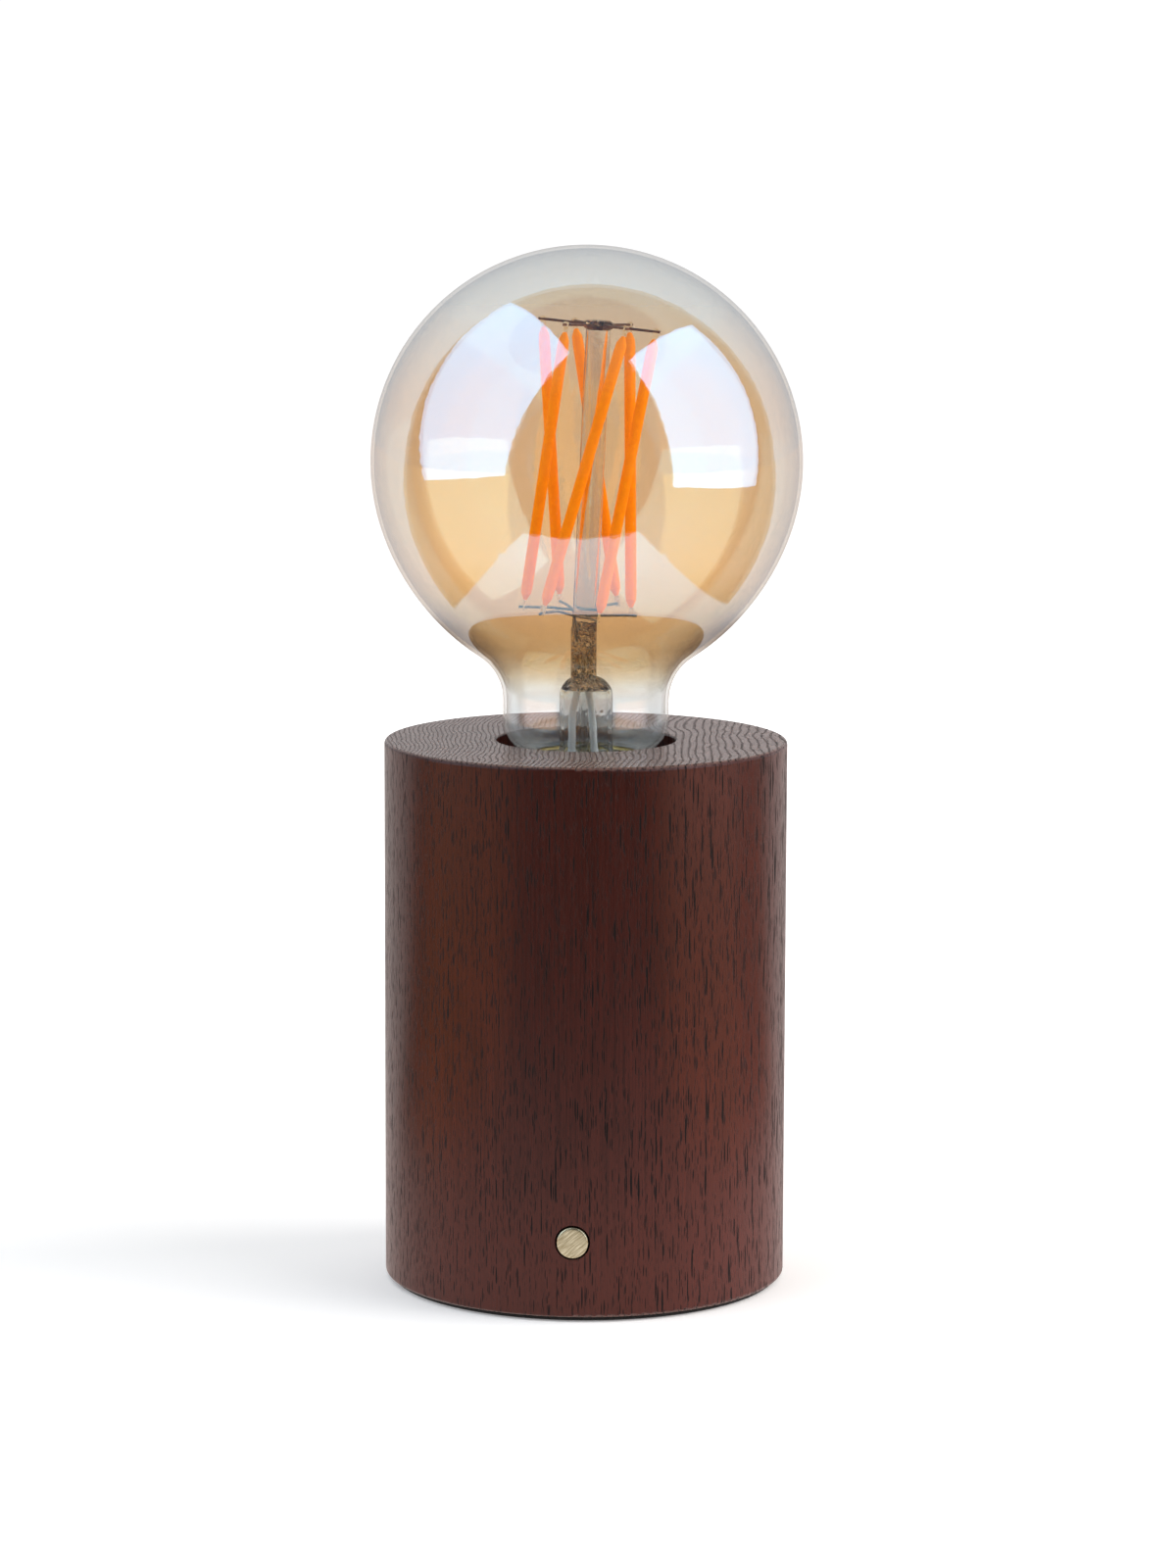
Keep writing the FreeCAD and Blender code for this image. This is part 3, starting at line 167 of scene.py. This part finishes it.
def stained_wood():
    m = Mat("stained_wood")
    x, y, z = m.xyz(m.pos)[:3]
    up = m.xyz(m.node("NewGeometry").outputs["Normal"])[2]
    end = m.span(m.ma("ABSOLUTE", up), 0.55, 0.85, 0.0, 1.0, True)
    drift = m.noise(0.028, m.join(x, y, m.ma("MULTIPLY", z, 0.12)), 2.0)
    fine = m.noise(0.35, m.join(x, y, m.ma("MULTIPLY", z, 0.05)), 3.0)
    wave = m.ma("MULTIPLY", m.ma("SINE", m.ma("ADD", m.ma("MULTIPLY", y, 0.075), 0.5)), 1.9)
    xw = m.ma("ADD", m.ma("ADD", x, wave), m.ma("MULTIPLY", m.ma("SUBTRACT", drift, 0.5), 9.0))
    xw = m.ma("ADD", xw, m.ma("MULTIPLY", m.ma("SUBTRACT", fine, 0.5), 0.9))
    rings = m.ma("SUBTRACT", m.ma("MULTIPLY", xw, 0.76), m.ma("MULTIPLY", m.ma("MULTIPLY", xw, xw), 0.0032))
    phase = m.ma("FRACT", m.ma("ADD", rings, 100.0))
    early = m.span(m.ma("ABSOLUTE", m.ma("SUBTRACT", phase, 0.5)), 0.30, 0.44, 0.0, 1.0, True)

    def vessels(sx, sz, radius, keep_side, keep_end, soft):
        """Open pores: thin vessels along the trunk, crowded in each year's first wood, some of them left out."""
        n = m.node("TexVoronoi", {"Vector": m.scaled(m.pos, (sx, sx, sz)), "Scale": 1.0, "Randomness": 1.0}, feature="F1")
        luck = m.xyz(n.outputs["Color"])
        keep = m.ma("ADD", m.span(end, 0.0, 1.0, keep_side, keep_end), m.ma("MULTIPLY", early, m.span(end, 0.0, 1.0, 0.34, 0.72)))
        there = m.ma("LESS_THAN", luck[0], keep)
        size = m.ma("MULTIPLY", radius, m.ma("ADD", 0.55, m.ma("MULTIPLY", luck[1], 0.75)))
        return m.ma("MULTIPLY", there, m.ma("DIVIDE", m.ma("SUBTRACT", size, n.outputs["Distance"]), soft, clamp=True))

    right = m.ma("ADD", 1.0, m.ma("MULTIPLY", x, 0.007))
    pore1 = vessels(1.9, 0.13, m.ma("MULTIPLY", 0.34, right), m.ma("MULTIPLY", 0.15, right), 0.16, 0.05)
    pore2 = vessels(3.2, 0.30, 0.44, 0.25, 0.34, 0.07)
    pore3 = vessels(6.0, 0.55, 0.42, 0.32, 0.36, 0.15)
    pore = m.ma("MAXIMUM", pore1, m.ma("MAXIMUM", m.ma("MULTIPLY", pore2, 0.85), m.ma("MULTIPLY", pore3, 0.55)))
    streak = m.noise(1.0, m.scaled(m.pos, (2.6, 2.6, 0.045)), 5.0, 0.7)
    broad = m.noise(1.0, m.scaled(m.pos, (0.16, 0.16, 0.012)), 3.0, 0.55)
    cloud = m.noise(0.034, m.scaled(m.pos, (1.0, 1.0, 0.55)), 3.0)
    body = m.mix(m.span(cloud, 0.36, 0.64, 0.0, 1.0, True), lin(67, 24, 16), lin(77, 30, 22))
    body = m.mix(m.span(broad, 0.35, 0.7, 0.0, 0.2), body, lin(74, 28, 18))
    body = m.mix(m.span(streak, 0.40, 0.68, 0.0, 0.8), body, lin(36, 11, 8))
    # painted light: the side is lighter towards the bottom, standing in for light bounced up from the table
    body = m.mix(m.span(z, 50.0, 4.0, 0.0, 0.4, True), body, lin(104, 48, 37))
    # painted light: the side is lighter towards the right, where the key light falls
    body = m.mix(m.span(x, 10.0, 42.0, 0.0, 0.26, True), body, lin(104, 58, 54))
    # painted shade: the side darkens towards its top, standing in for the dark room it reflects
    body = m.mix(m.span(z, 35.0, 110.0, 0.0, 0.42, True), body, lin(44, 14, 8))
    # painted reflection: the top face turns greyish mauve, standing in for the white sweep it reflects at a grazing
    # angle
    body = m.mix(m.ma("MULTIPLY", end, 0.45), body, lin(146, 118, 108))
    line = m.ma("MULTIPLY", early, m.span(end, 0.0, 1.0, 0.06, 0.44))
    body = m.mix(line, body, lin(26, 12, 10))
    col = m.mix(m.ma("MULTIPLY", pore, 0.96), body, lin(9, 4, 4))
    rough = m.ma("ADD", m.span(streak, 0.2, 0.8, 0.25, 0.33), m.ma("MULTIPLY", end, -0.04))
    rough = m.ma("ADD", rough, m.ma("MAXIMUM", m.ma("MULTIPLY", pore, 0.45), m.ma("MULTIPLY", line, 0.3)))
    height = m.ma("SUBTRACT", m.ma("MULTIPLY", streak, 0.22), pore)
    height = m.ma("MULTIPLY", m.ma("SUBTRACT", height, m.ma("MULTIPLY", line, 0.35)), m.span(end, 0.0, 1.0, 1.0, 1.5))
    nrm = m.bump(height, 0.6, 0.00012)
    return m.surface(m.principled(base=col, rough=rough, normal=nrm, spec=0.30))


def brass(name, colour, dark, rough=0.22, lines=(6.0, 6.0, 0.3), depth=0.12, tarnish=0.35):
    """Metal with a drawn or turned grain, stretched along the axis whose scale is low."""
    m = Mat(name)
    grain = m.noise(1.0, m.scaled(m.pos, lines), 4.0, 0.6)
    spots = m.noise(0.5, None, 4.0, 0.6)
    col = m.mix(m.span(spots, 0.45, 0.75, 0.0, tarnish), colour, dark)
    r = m.span(grain, 0.25, 0.75, rough * 0.8, rough * 1.35)
    return m.surface(m.principled(base=col, metal=1.0, rough=r, normal=m.bump(grain, depth, 0.00005)))


def button_brass():
    m = Mat("antique_brass")
    x, y, z = m.xyz(m.pos)[:3]
    a = math.radians(38)
    u = m.ma("ADD", m.ma("MULTIPLY", x, math.cos(a)), m.ma("MULTIPLY", z, math.sin(a)))
    v = m.ma("SUBTRACT", m.ma("MULTIPLY", z, math.cos(a)), m.ma("MULTIPLY", x, math.sin(a)))
    grain = m.noise(1.0, m.join(m.ma("MULTIPLY", u, 0.3), m.ma("MULTIPLY", v, 9.0), m.ma("MULTIPLY", y, 0.4)), 3.0, 0.65)
    patch = m.noise(0.7, None, 3.0)
    col = m.mix(m.span(grain, 0.38, 0.62), lin(238, 232, 204), lin(160, 148, 110))
    col = m.mix(m.span(patch, 0.5, 0.8, 0.0, 0.4), col, lin(168, 150, 108))
    r = m.span(grain, 0.25, 0.75, 0.26, 0.40)
    return m.surface(m.principled(base=col, metal=1.0, rough=r, normal=m.bump(grain, 0.2, 0.00003)))


def moulded(name, colour, rough=0.5, grain=3.0, depth=0.12, spec=0.5, vary=0.12):
    """Moulded plastic, rubber or board: a fine-textured surface with a little drift in its colour."""
    m = Mat(name)
    n1 = m.noise(grain, None, 3.0)
    n2 = m.noise(0.12, None, 2.0)
    dark = tuple(c * (1.0 - vary * 2) for c in colour[:3]) + (1.0,)
    col = m.mix(m.span(n2, 0.3, 0.7), colour, dark)
    r = m.span(n1, 0.3, 0.7, rough * 0.88, min(1.0, rough * 1.15))
    return m.surface(m.principled(base=col, rough=r, normal=m.bump(n1, depth, 0.00006), spec=spec))


def foam():
    m = Mat("foam_rubber")
    c = m.cells(2.4)
    n = m.noise(1.2, None, 4.0)
    col = m.mix(m.span(c, 0.1, 0.6), lin(26, 25, 25), lin(52, 50, 49))
    col = m.mix(m.span(n, 0.4, 0.7, 0.0, 0.35), col, lin(64, 61, 58))
    return m.surface(m.principled(base=col, rough=0.92, normal=m.bump(c, 0.5, 0.00025), spec=0.25))


def amber_glass():
    """Thin blown glass with a fired amber half-mirror film that fades out below the throat."""
    m = Mat("amber_glass")
    x, y, z = m.xyz(m.pos)[:3]
    swirl = m.noise(0.06, None, 3.0)
    zz = m.ma("ADD", z, m.ma("MULTIPLY", m.ma("SUBTRACT", swirl, 0.5), 5.0))
    film = m.span(zz, 130.5, 143.5, 0.0, 1.0, True)
    facing = m.node("LayerWeight", {"Blend": 0.5}).outputs["Facing"]
    rise = m.ma("POWER", facing, 4.2)
    cloudy = m.span(m.noise(0.035, None, 3.0), 0.3, 0.7, 0.0, 1.0)
    amber = m.mix(cloudy, (0.864, 0.755, 0.628), (0.857, 0.747, 0.617))
    amber = m.mix(m.span(z, 172.0, 148.0, 0.0, 1.0, True), amber, (0.862, 0.730, 0.586))
    amber = m.mix(m.span(z, 160.0, 149.0, 0.0, 1.0, True), amber, (0.805, 0.685, 0.520))
    amber = m.mix(m.span(z, 196.0, 224.0, 0.0, 1.0, True), amber, (0.846, 0.784, 0.700))
    through = m.mix(film, (0.826, 0.838, 0.840), amber)
    # the film turns back on itself where the globe meets its neck, and looks dark brown edge on
    throat = m.ma("MULTIPLY", m.span(z, 141.5, 145.5, 0.0, 1.0, True), m.span(z, 147.5, 153.0, 1.0, 0.0, True))
    edge = m.ma("MULTIPLY", throat, m.ma("POWER", facing, 3.4))
    through = m.mix(edge, through, (0.34, 0.26, 0.18))
    through = m.mix(rise, through, (0.0, 0.0, 0.0))
    back = m.mix(film, (0.095, 0.101, 0.106), (0.066, 0.160, 0.262))
    back = m.mix(rise, back, (0.81, 0.795, 0.775))
    back = m.mix(edge, back, (0.20, 0.165, 0.13))
    clear = m.node("BsdfTransparent", {"Color": through})
    gloss = m.node("BsdfGlossy", {"Color": back, "Roughness": m.span(film, 0.0, 0.6, 0.16, 0.0)})
    both = m.node("AddShader", {0: clear.outputs[0], 1: gloss.outputs[0]})
    return m.surface(both.outputs[0])


def clear_glass(name, tint=(0.97, 0.985, 0.98), rough=0.0, ripple=0.25, pinch=None):
    m = Mat(name)
    n = m.noise(0.22, None, 2.0)
    col = m.mix(m.span(n, 0.35, 0.7), tint + (1.0,), tuple(c * 0.97 for c in tint) + (1.0,))
    nrm = m.bump(n, ripple, 0.0006)
    if pinch:
        # the pressed glass is lumpy and browned by the flame
        z = m.xyz(m.pos)[2]
        at = m.ma("MULTIPLY", m.span(z, pinch[0], pinch[0] + 2.0, 0.0, 1.0, True), m.span(z, pinch[1] - 2.0, pinch[1], 1.0, 0.0, True))
        lumps = m.noise(0.42, None, 2.0, 0.5, 0.8)
        brown = m.mix(m.span(lumps, 0.42, 0.60), (1.0, 0.97, 0.88), (0.86, 0.66, 0.42))
        col = m.mix(at, col, brown)
        nrm = m.bump(m.ma("MULTIPLY", lumps, at), 1.0, 0.004, nrm)
    return m.surface(m.principled(base=col, rough=rough, trans=1.0, ior=1.5, normal=nrm))


def filament():
    m = Mat("filament_coating")
    n = m.noise(1.1, None, 3.0)
    fine = m.noise(7.0, None, 2.0)
    col = m.mix(m.span(n, 0.3, 0.72), (1.0, 0.40, 0.0), (0.93, 0.31, 0.0))
    r = m.span(fine, 0.3, 0.7, 0.5, 0.68)
    # painted glow: the coating emits a faint orange light of its own, standing in for its brightness; the bulb is not
    # lit
    return m.surface(m.principled(base=col, rough=r, normal=m.bump(m.noise(1.6, None, 3.0), 0.2, 0.0001), spec=0.06, emit=(1.0, 0.30, 0.0, 1.0), emit_by=0.30))


def bulb_wire():
    """Thin wire, brown and darker near the top bead and pale grey below."""
    m = Mat("support_wire")
    z = m.xyz(m.pos)[2]
    n = m.noise(1.4, None, 3.0)
    toward_top = m.span(z, 160.0, 200.0, 0.0, 1.0)
    pale = m.mix(m.span(n, 0.35, 0.7), lin(176, 186, 196), lin(112, 118, 126))
    brown = m.mix(m.span(n, 0.35, 0.7), lin(150, 108, 76), lin(72, 54, 44))
    r = m.span(n, 0.3, 0.7, 0.28, 0.4)
    return m.surface(m.principled(base=m.mix(toward_top, pale, brown), metal=0.6, rough=r, normal=m.bump(n, 0.1, 0.00005)))


def tab_metal():
    m = Mat("filament_metal")
    n = m.noise(2.0, None, 3.0)
    col = m.mix(m.span(n, 0.35, 0.65), lin(250, 246, 232), lin(226, 190, 120))
    # painted glint: the tabs emit a faint warm light, standing in for their glints
    return m.surface(m.principled(base=col, metal=0.15, rough=0.3, normal=m.bump(n, 0.15, 0.00008), emit=(1.0, 0.93, 0.8, 1.0), emit_by=0.18))


def fibre():
    m = Mat("sleeve_fibre")
    x, y, z = m.xyz(m.pos)[:3]
    weave = m.ma("SINE", m.ma("MULTIPLY", m.ma("ADD", z, m.ma("MULTIPLY", x, 0.8)), 9.0))
    n = m.noise(3.0, None, 3.0)
    col = m.mix(m.span(weave, -1.0, 1.0), lin(244, 248, 252), lin(206, 216, 228))
    col = m.mix(m.span(n, 0.4, 0.8, 0.0, 0.5), col, lin(214, 210, 204))
    return m.surface(m.principled(base=col, rough=0.6, normal=m.bump(weave, 0.25, 0.00008)))


made = {
    "stained_wood": stained_wood(),
    "antique_brass": button_brass(),
    "amber_glass": amber_glass(),
    "clear_glass": clear_glass("clear_glass", pinch=(133.5, 149.0)),
    "bead_glass": clear_glass("bead_glass", (0.94, 0.82, 0.66), 0.04, 0.6),
    "filament_coating": filament(),
    "sleeve_fibre": fibre(),
    "foam_rubber": foam(),
    "filament_metal": tab_metal(),
    "support_wire": bulb_wire(),
    "cap_brass": brass("cap_brass", lin(228, 196, 120), lin(176, 140, 74), 0.2, (0.5, 0.5, 6.0)),
    "holder_brass": brass("holder_brass", lin(214, 184, 112), lin(160, 128, 70), 0.26, (0.5, 0.5, 6.0)),
    "zinc_steel": brass("zinc_steel", lin(196, 198, 202), lin(140, 142, 148), 0.32, (2.5, 2.5, 2.5)),
    "spring_steel": brass("spring_steel", lin(176, 178, 182), lin(112, 112, 116), 0.28, (4.0, 4.0, 4.0)),
    "coil_copper": brass("coil_copper", lin(200, 118, 72), lin(140, 72, 40), 0.3, (1.0, 1.0, 8.0)),
    "contact_solder": brass("contact_solder", lin(198, 198, 196), lin(140, 138, 134), 0.36, (1.6, 1.6, 1.6)),
    "capacitor_can": brass("capacitor_can", lin(120, 132, 160), lin(70, 78, 100), 0.3, (2.0, 2.0, 2.0)),
    "black_board": moulded("black_board", lin(34, 32, 31), 0.7, 2.2, 0.3, 0.3, 0.2),
    "black_thermoplastic": moulded("black_thermoplastic", lin(30, 29, 29), 0.42, 3.5, 0.12),
    "white_insulator": moulded("white_insulator", lin(226, 222, 212), 0.45, 1.6, 0.1),
    "grommet_rubber": moulded("grommet_rubber", lin(28, 27, 27), 0.62, 2.8, 0.2, 0.4),
    "brown_insulation": moulded("brown_insulation", lin(104, 60, 34), 0.4, 1.5),
    "blue_insulation": moulded("blue_insulation", lin(40, 84, 150), 0.4, 1.5),
    "board_laminate": moulded("board_laminate", lin(40, 96, 62), 0.4, 2.0),
    "component_black": moulded("component_black", lin(36, 35, 36), 0.5, 2.0),
    "block_plastic": moulded("block_plastic", lin(90, 150, 96), 0.45, 2.0),
    "switch_plunger_plastic": moulded("switch_plunger_plastic", lin(214, 92, 40), 0.4, 2.0),
    "cap_glass_insulator": moulded("cap_glass_insulator", lin(30, 26, 34), 0.12, 0.8, 0.05, 0.6),
    "cement": moulded("cement", lin(222, 208, 178), 0.85, 1.4, 0.5, 0.25, 0.2),
}

for name, slot in slot_of.items():
    obj = nodes[name]
    if not obj.material_slots:
        obj.data.materials.append(made[slot])
    for s in obj.material_slots:
        s.link = "OBJECT"
        s.material = made[slot]


nodes["bulb_stem"].visible_shadow = False

# ---------------------------------------------------------------- pieces in finer mesh

def lathe(name, rings, count, body, slot, *replaced):
    """A turned piece: rings is a profile of (radius, height) in millimetres, from one point on the axis to the other."""
    bm = bmesh.new()
    loops = []
    for r, h in rings:
        if r == 0:
            loops.append([bm.verts.new((0.0, 0.0, h / 1000))] * count)
        else:
            loops.append([bm.verts.new((r * math.cos(2 * math.pi * k / count) / 1000, r * math.sin(2 * math.pi * k / count) / 1000, h / 1000)) for k in range(count)])
    for a, b in zip(loops, loops[1:]):
        for k in range(count):
            j = (k + 1) % count
            corners = list(dict.fromkeys((a[k], a[j], b[j], b[k])))
            f = bm.faces.new(corners)
            f.smooth = True
    bmesh.ops.recalc_face_normals(bm, faces=bm.faces)
    mesh = bpy.data.meshes.new(name)
    bm.to_mesh(mesh)
    bm.free()
    obj = bpy.data.objects.new(name, mesh)
    scene.collection.objects.link(obj)
    mesh.materials.append(made[slot])
    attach(obj, body)
    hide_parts(*replaced)
    return obj


def button_face():
    """The button's turned cap: a faintly crowned face, a rounded edge and the socket for its stem, about its own axis."""
    rad, front, stem = 3.45, -0.45, 1.6
    rings = [(0.0, front)]
    for i in range(1, 9):
        r = (rad - 0.4) * i / 8
        rings.append((r, front + 0.04 * (i / 8) ** 2))
    for i in range(1, 7):
        a = math.radians(15 * i)
        rings.append((rad - 0.4 + 0.4 * math.sin(a), front + 0.44 - 0.4 * math.cos(a)))
    rings += [(rad, 2.58), (rad - 0.02, 2.6), (stem + 0.01, 2.6), (stem + 0.01, 1.2), (0.0, 1.2)]
    cap = lathe("button_face", rings, 96, "button", "antique_brass", "button_cap")
    low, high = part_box("button_cap")
    middle = (low[2] + high[2]) / 2
    for vert in cap.data.vertices:
        x, y, h = vert.co
        vert.co = (x, h - front / 1000 + low[1], middle - y)
    cap.data.update()
    return cap


def button_coil():
    """The button's return spring, as its own copy of the spring mesh, carried by the base."""
    mesh = nodes["button_spring"].data.copy()
    coil = bpy.data.objects.new("button_coil", mesh)
    scene.collection.objects.link(coil)
    for i in range(len(mesh.materials)):
        mesh.materials[i] = made["spring_steel"]
    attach(coil, "base")
    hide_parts("button_spring")
    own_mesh(coil)
    return coil


def foam_pad():
    """The die-cut foam disc: soft rounded edges, a faintly crowned face and pinholes at random over its underside."""
    pad = [(0.0, 0.03)]
    for i in range(1, 44):
        r = 43.0 * i / 43
        pad.append((r, 0.03 * math.cos(math.pi * r / 86.0) ** 2))
    for a in range(0, 181, 15):
        t = math.radians(a - 90)
        pad.append((43.0 + 0.6 * math.cos(t), 0.5 + 0.5 * math.sin(t)))
    pad += [(30.0, 1.0), (15.0, 1.0), (0.0, 1.0)]
    return lathe("foam_pad", pad, 160, "base", "foam_rubber", "non_slip_pad")


button_face()
button_coil()
foam_pad()

# ---------------------------------------------------------------- floor, light and camera

def behind(m, x, y, z, length):
    """Where the white sweep stands behind the lamp, by the direction (x, y, z) from the bulb."""
    side = m.ma("SUBTRACT", m.ma("ADD", y, m.ma("MULTIPLY", z, 0.048)), m.ma("MULTIPLY", x, 0.114))
    return m.span(m.ma("DIVIDE", side, length), 0.425, 0.437, 0.0, 1.0, True)


def floor():
    m = Mat("floor_paper")
    n = m.noise(0.02, None, 3.0)
    col = m.mix(m.span(n, 0.3, 0.7), (0.94, 0.905, 0.865), (0.93, 0.895, 0.856))
    paper = m.node("BsdfDiffuse", {"Color": col}).outputs[0]
    x, y, z = m.xyz(m.scaled(m.pos, 0.001))[:3]
    far = m.node("VectorMath", {0: m.join(x, y, 0.0)}, operation="LENGTH").outputs["Value"]
    # painted light: the paper emits light of its own, faint beside the lamp and stronger further off, so it reads white
    # while the shadows near the base stay
    glow = m.node("Emission", {"Color": (1.0, 1.0, 1.0, 1.0), "Strength": m.span(far, 0.12, 0.7, 0.19, 0.84, True)}).outputs[0]
    paper = m.node("AddShader", {0: paper, 1: glow}).outputs[0]
    # the lit strip of table, the white sweep behind and the warmer table beside it, as a mirror finish sees them
    strip = m.ma("MULTIPLY", m.span(m.ma("ABSOLUTE", x), 0.168, 0.176, 1.0, 0.0, True), m.span(y, -0.286, -0.278, 0.0, 1.0, True))
    away = m.node("VectorMath", {0: m.join(x, y, -0.16)}, operation="LENGTH").outputs["Value"]
    sweep = behind(m, x, y, -0.16, away)
    wide = m.ma("ADD", m.ma("MAXIMUM", m.ma("MULTIPLY", x, -1.0), m.ma("MULTIPLY", x, 0.80)), m.ma("MULTIPLY", y, 0.76))
    beside = m.ma("MULTIPLY", m.span(wide, 0.0, 0.03, 0.0, 1.0, True), m.span(m.ma("DIVIDE", y, m.ma("ADD", 0.02, m.ma("ABSOLUTE", x))), -0.08, 0.22, 1.0, 0.25, True))
    seen = m.mix(beside, (0.03, 0.022, 0.016, 1.0), (1.2, 0.44, 0.12, 1.0))
    seen = m.mix(m.ma("MAXIMUM", strip, sweep), seen, (0.93, 0.84, 0.80, 1.0))
    seen = m.node("Emission", {"Color": seen, "Strength": 1.0}).outputs[0]
    ray = m.node("LightPath").outputs["Is Glossy Ray"]
    both = m.node("MixShader", {0: ray, 1: paper, 2: seen})
    m.surface(both.outputs[0])
    bm = bmesh.new()
    n_side, size = 24, 8.0
    grid = [[bm.verts.new((size * (i / n_side - 0.5), size * (j / n_side - 0.5), 0.0)) for i in range(n_side + 1)] for j in range(n_side + 1)]
    for j in range(n_side):
        for i in range(n_side):
            bm.faces.new((grid[j][i], grid[j][i + 1], grid[j + 1][i + 1], grid[j + 1][i]))
    mesh = bpy.data.meshes.new("floor")
    bm.to_mesh(mesh)
    bm.free()
    obj = bpy.data.objects.new("floor", mesh)
    scene.collection.objects.link(obj)
    mesh.materials.append(m.m)
    return obj


floor()

world = bpy.data.worlds.new("studio")
scene.world = world
world.use_nodes = True
w = Mat("studio", world.node_tree)
d = w.node("TexCoord").outputs["Generated"]
x, y, z = w.xyz(d)[:3]
room = w.mix(w.span(z, 0.55, 0.95, 0.0, 1.0, True), (0.035, 0.03, 0.026, 1.0), (0.10, 0.10, 0.105, 1.0))
room = w.mix(behind(w, x, y, z, 1.0), room, (0.78, 0.785, 0.80, 1.0))
path = w.node("LightPath").outputs
lens = w.ma("MULTIPLY", path["Is Transmission Ray"], w.span(y, -0.1, 0.25, 0.0, 1.0, True))
seen = w.ma("MAXIMUM", path["Is Camera Ray"], lens)
bg = w.node("Background", {"Color": w.mix(seen, room, (1.06, 1.06, 1.06, 1.0)), "Strength": 1.0})
wo = w.node("OutputWorld")
w.t.links.new(bg.outputs[0], wo.inputs["Surface"])


def softbox(name, centre, u, v, radiance, colour):
    """A rectangular area light: u and v are its half sides, and it shines towards the lamp."""
    c, u, v = Vector(centre), Vector(u), Vector(v)
    ex = u.normalized()
    ez = ex.cross(v).normalized()
    if ez.dot(c - Vector((0, 0, 0.15))) < 0:
        ez.negate()
    ey = ez.cross(ex)
    light = bpy.data.lights.new(name, "AREA")
    light.shape = "RECTANGLE"
    light.size, light.size_y = 2 * u.length, 2 * v.length
    light.energy = radiance * math.pi * light.size * light.size_y
    light.color = colour
    obj = bpy.data.objects.new(name, light)
    obj.matrix_world = Matrix.Translation(c) @ Matrix((ex, ey, ez)).transposed().to_4x4()
    obj.visible_camera = False
    scene.collection.objects.link(obj)
    return obj


softbox("softbox_left", (-0.648, -0.268, 0.665), (0.197, -0.469, 0.038), (0.313, 0.179, 0.582), 1.75, (0.75, 0.87, 1.0))
softbox("softbox_right", (0.734, -0.132, 0.591), (-0.155, -0.442, 0.011), (-0.166, 0.073, 0.557), 1.95, (0.89, 0.93, 1.0))
key = softbox("key_right", (1.0, -0.05, 0.75), (0.0, 0.40, 0.0), (-0.2, 0.0, 0.3), 4.0, (1.0, 0.98, 0.95))
top = softbox("fill_top", (0.0, 0.15, 1.3), (0.6, 0.0, 0.0), (0.0, 0.6, 0.0), 1.0, (1.0, 0.98, 0.96))
key.visible_glossy = False
top.visible_glossy = False

cam = bpy.data.cameras.new("camera")
cam.lens = 113.36
cam.sensor_width = 36.0
cam.sensor_fit = "AUTO"
cam.clip_start, cam.clip_end = 0.01, 50.0
az, down, roll, dist, high, side = math.radians(3.3), math.radians(8.658), math.radians(-0.18), 1.0917, 0.2782, 0.0005
eye = bpy.data.objects.new("camera", cam)
eye.matrix_world = (
    Matrix.Translation((dist * math.sin(az) + side * math.cos(az), -dist * math.cos(az) + side * math.sin(az), high))
    @ Matrix.Rotation(az, 4, "Z") @ Matrix.Rotation(math.radians(90) - down, 4, "X") @ Matrix.Rotation(-roll, 4, "Z")
)
scene.collection.objects.link(eye)
scene.camera = eye
